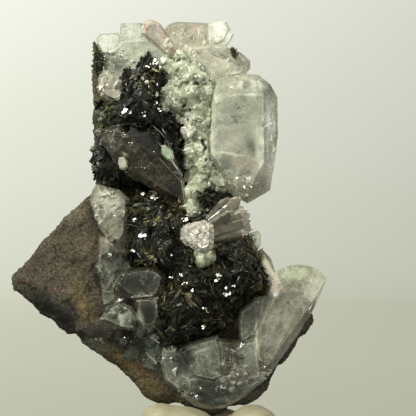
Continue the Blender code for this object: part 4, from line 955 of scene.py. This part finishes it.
def makeEpidote(look, node, seed, finish):
    # A dark rough core just inside the solid, and sheaves of flat blades rooted in it. The blades of a
    # sheaf lie along the surface side by side, and spread like a fan by how far each stands from the
    # sheaf's middle.
    name, count, lengths, widths, stand, dark, tangle = look["pieces"][node]
    dice = np.random.default_rng(seed)
    core, coreFaces, coreNormals = evenSkin(node, look["coreGrid"])
    core += coreNormals * ((layeredNoise(core, 1.4, seed) * look["coreRelief"] - look["sink"]) * mm)[:, None]
    places, normals = scatteredOn(node, count, seed)
    covered = placeShare(places, look["bare"]) < 0.5
    places, normals, count = places[covered], normals[covered], int(covered.sum())
    middles, _ = scatteredOn(node, max(count // look["sheaf"], 2), seed + 1)
    nearest = np.linalg.norm(places[:, None] - middles[None], axis=2).argmin(axis=1)
    lie = dice.normal(0, 1, middles.shape)[nearest]
    lie = unit(lie - normals * (lie * normals).sum(axis=1)[:, None])
    spread = (places - middles[nearest]) / (look["sheafSize"] * mm)
    rise = dice.uniform(0.02, stand, count)
    astray = dice.normal(0, tangle, places.shape)
    ways = unit(lie + spread * look["spread"] + normals * rise[:, None] + astray)
    length, broad = dice.uniform(*lengths, count) * mm, dice.random(count) ** 2.5
    width = (widths[0] + (widths[1] - widths[0]) * broad) * mm
    length *= 1.1 - rise
    roots = places - normals * look["sink"] * mm - ways * (length * look["rooted"])[:, None]
    flat = unit(normals + dice.normal(0, look["tilt"], normals.shape))
    points, quads, caps = laths(roots, ways, flat, length, width, width * look["thickness"])
    tone = dice.random(count) * 0.6 + dice.random(middles.shape[0])[nearest] * 0.4
    olive = dice.random(count) < placeShare(places, look["specks"])
    tone = np.where(olive, 1.0, tone ** dark * look["brightest"])
    shift = len(core)
    faces = coreFaces.tolist() + (quads + shift).tolist() + (caps + shift).tolist()
    mass = madePiece(name, np.concatenate([core, points]), faces, [finish], [node])
    keepNumber(mass, "tone", np.concatenate([np.zeros(shift), np.repeat(tone, lathCorners)]))


def makeGlints(look, node, seed, finish):
    # Small cleavage faces at named places, turned so that each mirrors the lamp to the front
    dice = np.random.default_rng(seed)
    places, normals = scatteredOn(node, 40000, seed)
    places = places[normals[:, 1] < -0.3]
    halfway = wayToLamp() + [0, -1, 0]
    spots = []
    for x, z in look[node]:
        away = awayFrom(places, x, z) + places[:, 1] / mm * 0.02  # the nearest, and among those the foremost
        spots.append(places[away.argmin()])
    spots = np.repeat(spots, look["glintsEach"], axis=0)
    count = len(spots)
    aside = dice.normal(0, look["glintAside"], count)
    forward = dice.uniform(*look["glintForward"], count)
    up = dice.normal(0, look["glintUp"], count)
    spots = spots + np.column_stack([aside, forward, up]) * mm
    flat = unit(halfway + dice.normal(0, look["glintTilt"], (count, 3)))
    ways = unit(np.cross(flat, unit(dice.normal(0, 1, (count, 3)))))
    smallest, largest = look["glintSize"]
    size = (smallest + (largest - smallest) * dice.random(count) ** 2.2) * mm
    width, depth = size * dice.uniform(*look["glintShape"], count), np.full(count, look["glintDepth"] * mm)
    points, quads, caps = laths(spots - ways * size[:, None] / 2, ways, flat, size, width, depth)
    name = look["pieces"][node][0].replace("blades", "glints")
    piece = madePiece(name, points, quads.tolist() + caps.tolist(), [finish])
    keepNumber(piece, "tone", np.full(len(points), look["glintTone"]))


# The prehnite

prehnite = {
    "tones": [(0.0, "#14150D"), (0.2, "#4A503E"), (0.72, "#A4A892"), (0.45, "#797E69"), (1.0, "#D8DBCC")],
    "glow": 0.5, "grid": 0.22, "lobe": 0.5, "lobeSize": 4.0, "clump": 2.6, "clumpHeight": 0.36,
    "crumb": 1.1, "crumbHeight": 0.1, "lowered": 0.1,  # sizes and heights in millimetres
    # how much the tone owes to each broad plane's and crumb's own number, and to the height of the tilted
    # planes and of the lobes, which paints light on what stands higher
    "toneShares": (0.3, 0.12, 0.1, 0.08),
    "speckSize": 0.44, "speckEdge": 0.25, "speckWander": 1.1, "speckDepth": 0.3, "gapShade": 0.4,
    "tablets": 560, "tabletRadius": (0.3, 0.85), "tabletLength": (1.5, 1.9), "tabletLean": 0.45,
    "tabletSunk": 0.62, "tabletTones": (0.08, 0.7), "speckClearance": 0.9,
    "specks": [
        (2.2, 84.6), (6.3, 83.7), (6.2, 80.4), (3.8, 78.5), (4.9, 77.4), (8.9, 74.2), (7.9, 70.2),
        (8.5, 68.9), (8.7, 66.6), (-0.5, 88.7), (0.9, 89.5), (2.7, 89.1),
    ],
}


def makePrehnite(look, name, node, seed, finish, relief, shade):
    # The solid's skin, raised into lobes and cut by tilted planes: broad ones a few millimetres across, and
    # crumbs. Its tone follows them, painted paler where they stand higher and darker in some gaps between the
    # broad ones, as light and shade; it is dark at the specks.
    points, faces, normals = evenSkin(node, look["grid"])
    lobes = layeredNoise(points, look["lobeSize"], seed)
    first, second, _, number = nearestCells(points, look["clump"], seed)
    _, _, _, part = nearestCells(points, look["crumb"], seed + 3)
    clump = brokenFacets(points, look["clump"], seed)
    crumb = brokenFacets(points, look["crumb"], seed + 3)
    height = look["lobe"] * lobes + look["clumpHeight"] * clump + look["crumbHeight"] * crumb
    height -= look["lowered"]
    dark = np.zeros(len(points))
    wander = look["speckWander"] * layeredNoise(points, 0.7, seed + 8)
    for x, z in look["specks"]:
        away = awayFrom(points, x, z) + wander
        dark = np.maximum(dark, np.clip((look["speckSize"] - away) / look["speckEdge"], 0, 1))
    # Painted shade in some gaps between the broad planes
    shadeInGaps = np.clip(0.9 - (second - first) / 0.16, 0, 1)
    shadeInGaps = shadeInGaps * np.clip(layeredNoise(points, 3.2, seed + 9) * 3 - 0.3, 0, 1)
    dark = np.maximum(dark, shadeInGaps * look["gapShade"])
    points += normals * ((relief * height - dark * look["speckDepth"]) * mm)[:, None]
    broad, small, tilt, lobe = look["toneShares"]
    tone = np.clip(shade + number * broad + part * small + clump * tilt + lobes * lobe, -0.2, 1) - dark * 1.5
    lump = madePiece(name, points, faces, [finish], [node], True)
    keepNumber(lump, "height", tone)


def makeTablets(look, name, node, seed, finish):
    # Stubby pointed crystals, each with its own tone, all over the prehnite but for its back, its specks and
    # some patches here and there
    dice = np.random.default_rng(seed)
    places, normals = scatteredOn(node, look["tablets"], seed)
    keep = (normals[:, 1] < 0.5) & (layeredNoise(places, 3.2, seed + 9) < 0.35)
    for x, z in look["specks"]:
        keep &= awayFrom(places, x, z) > look["speckClearance"]
    places, normals = places[keep], normals[keep]
    count = len(places)
    radius = dice.uniform(*look["tabletRadius"], count) * mm
    length = radius * dice.uniform(*look["tabletLength"], count)
    ways = unit(normals + dice.normal(0, look["tabletLean"], (count, 3)) + [0, -0.3, 0.1])
    roots = places - ways * (length * look["tabletSunk"])[:, None]
    points, faces = pointedPrisms(roots, ways, length, radius, dice.uniform(0, 6, count))
    tablets = madePiece(name, points, faces, [finish])
    darkest, more = look["tabletTones"]
    keepNumber(tablets, "height", np.repeat(darkest + more * dice.random(count) ** 1.4, prismCorners))


# The putty

putty = {
    "tones": [(0.3, "#8F8770"), (0.7, "#A69E88")], "grid": 0.7, "dent": 0.5, "dentSize": 7.0, "level": 2.0,
    "bulges": [("left shoulder", -3.4, 10.4, 3.6, 2.2, 0, 1.3)],
}


def makePutty(look):
    # The solid's skin with slow thumb dents and a bulge, kept level underneath
    points, faces, normals = evenSkin("display_putty", look["grid"])
    move = look["dent"] * layeredNoise(points, look["dentSize"], 31, 2)
    move += placeShare(points, look["bulges"])
    raised = np.clip(points[:, 2] / mm / look["level"], 0, 1)
    points += normals * (move * raised * mm)[:, None]
    points[:, 2] = np.maximum(points[:, 2], 0)
    madePiece("putty_lump", points, faces, [displayPutty(look)], ["display_putty"], True)


# The studio

studio = {
    "floorRadius": 1.45, "bend": 1.0, "wallTop": 3.0, "pathLength": 2.9,  # metres
    "floorRings": 16, "bendRings": 24, "turns": 96,
    # Painted light along the profile: darker on the floor near the middle, paler up the wall
    "stops": [(0.05, "#B9BBA8"), (0.5, "#CACCB9"), (0.2, "#C3C5B2"), (0.62, "#D8DACC"), (0.68, "#E2E4D7"),
              (0.74, "#EFF0E6"), (0.9, "#F4F5EE")],
    "sideShade": 0.9, "sideReach": 0.25,  # painted shade: darker to the right by this much a metre, so far from the middle
    # The backdrop glows with its own painted light; only this share of it is lit by the lamps
    "litShare": 0.12, "glow": 0.88,
    "away": 0.9, "frameWidth": 0.0936, "lookAt": (0.0090, 0.0, 0.0558), "sensor": 36,
    "keyWay": (-0.62, -0.60, 0.80), "keySize": 0.36, "keyPower": 8.3,
    "cardWay": (0.96, -0.22, 0.17), "cardSize": 0.6, "cardPower": 2.8,
    "lampDistance": 0.8, "lightTint": (0.98, 1.0, 0.86),
    "worldDark": 0.22, "worldBright": 1.15, "worldStrength": 0.75,
}


def makeStage(look):
    # A profile carried round the upright axis: a flat floor, a quarter bend and a wall. It holds the way
    # along the profile, which the backdrop's tint follows. The backdrop glows, and its tint is painted light:
    # paler up the wall, darker on the floor and to the right.
    flatRings, turns, flatRadius = look["floorRings"], look["turns"], look["floorRadius"]
    bend = np.linspace(0, math.pi / 2, look["bendRings"])[1:]
    radius = np.concatenate([np.linspace(0.001, flatRadius, flatRings),
                             flatRadius + look["bend"] * np.sin(bend), [flatRadius + look["bend"]]])
    height = np.concatenate([np.zeros(flatRings), look["bend"] * (1 - np.cos(bend)), [look["wallTop"]]])
    path = np.concatenate([[0], np.cumsum(np.hypot(np.diff(radius), np.diff(height)))])
    angle = np.arange(turns) / turns * 2 * math.pi
    points = np.stack([radius[:, None] * np.cos(angle), radius[:, None] * np.sin(angle),
                       np.repeat(height[:, None], turns, axis=1)], axis=2).reshape(-1, 3)
    i, j = np.meshgrid(np.arange(len(radius) - 1), np.arange(turns), indexing="ij")
    k = (j + 1) % turns
    faces = np.stack([i * turns + j, i * turns + k, (i + 1) * turns + k, (i + 1) * turns + j], axis=2)
    faces = faces.reshape(-1, 4)
    floor = newObject("studio_floor", newMesh("studio_floor", points, faces, True))
    keepNumber(floor, "path", np.repeat(path / look["pathLength"], turns))
    floor.visible_diffuse = floor.visible_glossy = floor.visible_shadow = False
    material, place = newMaterial("glowingBackdrop")
    x = addNode(material, "SeparateXYZ", Vector=place).outputs["X"]
    along = addNode(material, "Attribute", {"attribute_name": "path"}).outputs["Fac"]
    # Painted light: the tint along the profile, darker to the right, given off as a glow
    tint = addNode(material, "ValToRGB", None, look["stops"], Fac=along).outputs[0]
    reach, change = look["sideReach"], look["sideShade"] * look["sideReach"]
    side = addNode(material, "MapRange", Value=x, From_Min=-reach, From_Max=reach, To_Min=1 + change,
                   To_Max=1 - change).outputs[0]
    colour = addNode(material, "MixRGB", {"blend_type": "MULTIPLY"}, _0=1.0, _1=tint, _2=side).outputs[0]
    share = (*[look["litShare"]] * 3, 1)
    lit = addNode(material, "MixRGB", {"blend_type": "MULTIPLY"}, _0=1.0, _1=colour, _2=share).outputs[0]
    shader = addNode(material, "BsdfPrincipled", Base_Color=lit, Roughness=1.0, Emission_Color=colour)
    shader.inputs["Specular IOR Level"].default_value = 0.0
    shader.inputs["Emission Strength"].default_value = look["glow"]
    floor.data.materials.append(finished(material, shader))


def makeLight(look):
    # A soft lamp at the upper left in front, a pale card at the right, and a sky that is bright on the
    # lamp's side
    keyWay = wayToLamp()
    for name, way, size, power in (("keyLamp", keyWay, look["keySize"], look["keyPower"]),
                                   ("paleCard", look["cardWay"], look["cardSize"], look["cardPower"])):
        lamp = bpy.data.lights.new(name, "AREA")
        lamp.size, lamp.energy, lamp.color = size, power, look["lightTint"]
        light = newObject(name, lamp)
        light.location = np.array(look["lookAt"]) + np.array(way) * look["lampDistance"]
        light.rotation_mode = "QUATERNION"
        light.rotation_quaternion = Vector(way).to_track_quat("Z", "Y")
    world = bpy.data.worlds.new("studioSky")
    bpy.context.scene.world = world
    world.use_nodes = True
    world.node_tree.nodes.clear()
    ways = addNode(world, "TexCoord").outputs["Generated"]
    dot = addNode(world, "VectorMath", {"operation": "DOT_PRODUCT"}, _0=ways, _1=tuple(keyWay))
    level = addNode(world, "MapRange", {"interpolation_type": "SMOOTHSTEP"}, Value=dot.outputs["Value"],
                    From_Min=-0.3, From_Max=1.0, To_Min=look["worldDark"],
                    To_Max=look["worldBright"]).outputs[0]
    tint = (*look["lightTint"], 1)
    colour = addNode(world, "MixRGB", {"blend_type": "MULTIPLY"}, _0=1.0, _1=level, _2=tint).outputs[0]
    shine = addNode(world, "Background", Color=colour, Strength=look["worldStrength"])
    addNode(world, "OutputWorld", Surface=shine.outputs[0])


def makeCamera(look):
    # Level, straight on, with a long lens, as the photograph was taken
    lens = bpy.data.cameras.new("camera")
    lens.sensor_width = look["sensor"]
    lens.lens = look["sensor"] * look["away"] / look["frameWidth"]
    lens.clip_start, lens.clip_end = 0.01, 20
    camera = newObject("camera", lens)
    x, y, z = look["lookAt"]
    camera.location = (x, y - look["away"], z)
    camera.rotation_euler = (math.pi / 2, 0, 0)
    bpy.context.scene.camera = camera


makeRock(matrixRock)
print("rock done")
clearToMilky = quartzFinishes("quartz", quartz)
shadedToMilky = quartzFinishes("shadedQuartz", lowerLeftQuartz)
smokyToMilky = quartzFinishes("smokyQuartz", smokyQuartz)
stripedToFrosted = quartzFinishes("harlequin", harlequinQuartz)
crystals = [
    ("upper_crystals", "upper_quartz", "quartz", upperQuartz, clearToMilky),
    ("left_crystals", "lower_left_quartz", "quartz", lowerLeftQuartz, shadedToMilky),
    ("right_crystals", "lower_right_quartz", "quartz", lowerRightQuartz, shadedToMilky),
    ("smoky_prism", "smoky_quartz", "smoky_quartz", smokyQuartz, smokyToMilky),
    ("harlequin_crystals", "harlequin_quartz", "quartz", harlequinQuartz, stripedToFrosted),
    ("green_corner_crystal", "green_quartz", "quartz", smallQuartz, clearToMilky),
    ("small_pale_crystal", "pale_crystal", "quartz", smallQuartz, clearToMilky),
    ("small_green_crystal", "green_crystal", "quartz", smallQuartz, clearToMilky),
]
for seed, (name, node, slot, look, finishes) in enumerate(crystals, 61):
    makeCrystal(name, node, look, seed, finishes)
makeFan(fan, stripedToFrosted)
makeDruse("upper_druse", upperDruse, clearToMilky, 200, druse)
makeDruse("lower_druse", lowerDruse, shadedToMilky, 230, druse)
makeSlivers(slivers, clearToMilky)
print("quartz done")
epidoteFinish = epidoteGlass("epidoteBlades", epidote, epidote["polish"], epidote["dull"], 0.2)
mirrorFinish = epidoteGlass("epidoteCleavage", epidote, 0.03, 0.08, 0.6)
for seed, node in enumerate(epidote["pieces"], 80):
    makeEpidote(epidote, node, seed, epidoteFinish)
for seed, node in enumerate(("upper_epidote", "lower_epidote"), 86):
    makeGlints(epidote, node, seed, mirrorFinish)
print("epidote done")
prehniteFinish = prehniteWax(prehnite)
makePrehnite(prehnite, "prehnite_beads", "prehnite_crust", 90, prehniteFinish, 1.0, 0.07)
makePrehnite(prehnite, "prehnite_knob", "prehnite_button", 91, prehniteFinish, 0.6, -0.03)
makeTablets(prehnite, "prehnite_tablets", "prehnite_crust", 95, prehniteFinish)
print("prehnite done")
makePutty(putty)
print("putty done")
makeStage(studio)
makeLight(studio)
makeCamera(studio)
bpy.context.scene.view_settings.view_transform = "Standard"
print("studio done")
